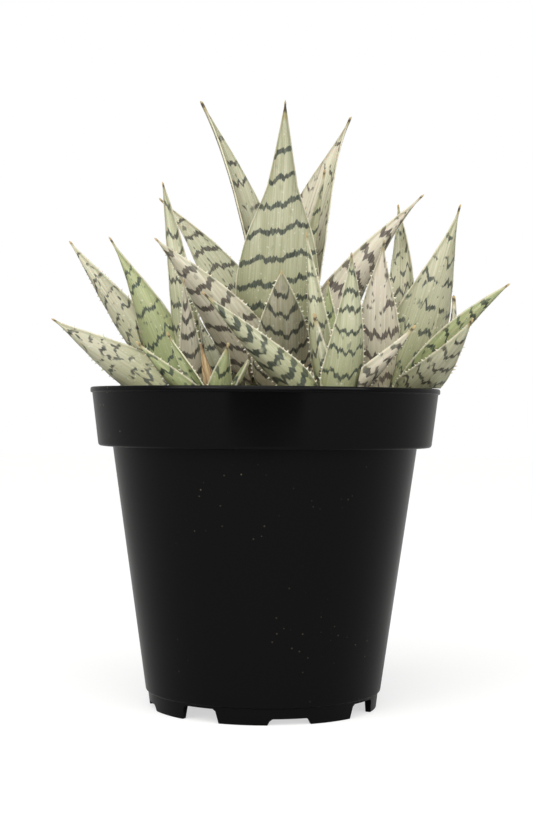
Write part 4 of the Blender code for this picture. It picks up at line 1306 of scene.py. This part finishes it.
def build_stage():
    """A pale floor that stays out of the part."""
    bm = bmesh.new()
    bmesh.ops.create_circle(bm, cap_ends=True, segments=96, radius=4000.0)
    floor = add_piece("floor", bm, [])
    material, tree, shader = new_material("studio_floor")
    fill(tree, shader, {"Base Color": linear("#f4f4f2"), "Roughness": 0.9,
                        "Specular IOR Level": 0.0})
    path = put(tree, "ShaderNodeLightPath")
    seen = put(tree, "ShaderNodeMath", {0: path.outputs["Is Camera Ray"], 1: 1.2},
               operation="MULTIPLY")
    glow = put(tree, "ShaderNodeEmission", {"Color": (1.0, 1.0, 1.0, 1.0),
                                            "Strength": seen.outputs[0]})
    lit = put(tree, "ShaderNodeMixShader", {0: 0.5, 1: shader.outputs[0],
                                            2: glow.outputs[0]})
    out = tree.nodes["Material Output"]
    tree.links.new(lit.outputs[0], out.inputs["Surface"])
    floor.data.materials.append(material)
    if floor.data.polygons[0].normal.z < 0.0:
        floor.data.flip_normals()


def build_flag():
    """The dark room in front of the table, which only the sheen of the pot shows."""
    near_edge = [(-0.655, -0.327), (-0.397, -0.50), (-0.187, -0.484), (-0.146, -0.352),
                 (0.0, -0.325), (0.146, -0.352), (0.204, -0.477), (0.50, -0.436),
                 (0.627, -0.359), (0.68, -0.13), (FLAG_REACH, -0.13)]
    outline = near_edge + [(FLAG_REACH, -FLAG_REACH), (-FLAG_REACH, -FLAG_REACH),
                           (-FLAG_REACH, -0.327)]
    bm = bmesh.new()
    bm.faces.new([bm.verts.new((x / MM, y / MM, 0.5)) for x, y in outline])
    bmesh.ops.triangulate(bm, faces=bm.faces)
    material, tree, shader = new_material("black_cloth")
    fill(tree, shader, {"Base Color": linear("#020202"), "Roughness": 1.0,
                        "Specular IOR Level": 0.0})
    flag = add_piece("flag", bm, [material])
    flag.visible_camera = False
    flag.visible_diffuse = False
    flag.visible_shadow = False
    flag.visible_transmission = False


def light(name, place, target, size, power, colour="#ffffff"):
    lamp = bpy.data.lights.new(name, "AREA")
    lamp.shape = "RECTANGLE"
    lamp.size, lamp.size_y = size
    lamp.energy = power
    lamp.color = linear(colour)[:3]
    lamp_object = bpy.data.objects.new(name, lamp)
    lamp_object.location = place
    aim = Vector(target) - Vector(place)
    lamp_object.rotation_euler = aim.to_track_quat("-Z", "Y").to_euler()
    bpy.context.scene.collection.objects.link(lamp_object)
    return lamp_object


def sun_light(name, turn, power, spread):
    """A very soft light from far away; turn tips it towards the front and to one side."""
    lamp = bpy.data.lights.new(name, "SUN")
    lamp.energy = power
    lamp.angle = math.radians(spread)
    lamp_object = bpy.data.objects.new(name, lamp)
    lamp_object.rotation_euler = (math.radians(turn[0]), math.radians(turn[1]), 0.0)
    bpy.context.scene.collection.objects.link(lamp_object)


def build_studio():
    world = bpy.data.worlds.new("studio")
    bpy.context.scene.world = world
    world.use_nodes = True
    tree = world.node_tree
    tree.nodes.clear()
    seen = put(tree, "ShaderNodeBackground", {"Color": (1.0, 1.0, 1.0, 1.0), "Strength": 1.0})
    fill_light = put(tree, "ShaderNodeBackground", {"Color": (1.0, 1.0, 1.0, 1.0),
                                                    "Strength": 0.42})
    path = put(tree, "ShaderNodeLightPath")
    both = put(tree, "ShaderNodeMixShader", {0: path.outputs["Is Camera Ray"],
                                             1: fill_light.outputs[0], 2: seen.outputs[0]})
    put(tree, "ShaderNodeOutputWorld", {0: both.outputs[0]})
    sun_light("overhead", (28.0, -8.0), 1.0, 50.0)
    sun_light("front_fill", (68.0, -6.0), 1.5, 70.0)
    light("left_softbox", (-0.75, -0.75, 0.55), (0.0, 0.0, 0.15), (0.7, 0.7), 5.0)
    light("right_softbox", (0.8, -0.7, 0.55), (0.0, 0.0, 0.15), (0.7, 0.7), 4.0)


def build_camera():
    camera = bpy.data.cameras.new("camera")
    camera.sensor_width = 36.0
    camera.lens = 70.0
    camera.clip_start = 0.01
    holder = bpy.data.objects.new("camera", camera)
    bpy.context.scene.collection.objects.link(holder)
    place = Matrix.Translation((0.00056, -0.690, 0.126))
    tilt = Matrix.Rotation(math.radians(90.0), 4, "X") @ Matrix.Rotation(math.radians(0.45), 4, "Z")
    holder.matrix_world = place @ tilt
    bpy.context.scene.camera = holder


def main():
    view = bpy.context.scene.view_settings
    view.view_transform = "Standard"
    horn = tooth_horn()
    # Each skin's fourth colour is the painted shade towards the leaf's foot
    skins = {
        "leaf_pale": leaf_skin("waxy_skin_pale", "#d2d1b6", "#a3a47e", "#868a5c", 0.46),
        "leaf_green": leaf_skin("waxy_skin_green", "#c0c49a", "#929b66", "#74804a", 0.44),
        "leaf_blush": leaf_skin("waxy_skin_blush", "#dcd7c3", "#aea586", "#a0997a", 0.48),
        "leaf_dry": dry_leaf(),
    }
    build_pot(pot_plastic())
    build_stems(stem_flesh())
    mix = potting_mix()
    dress_soil(mix)
    scatter_mix(mix)
    build_leaves(skins, horn)
    build_stage()
    build_flag()
    build_studio()
    build_camera()


main()
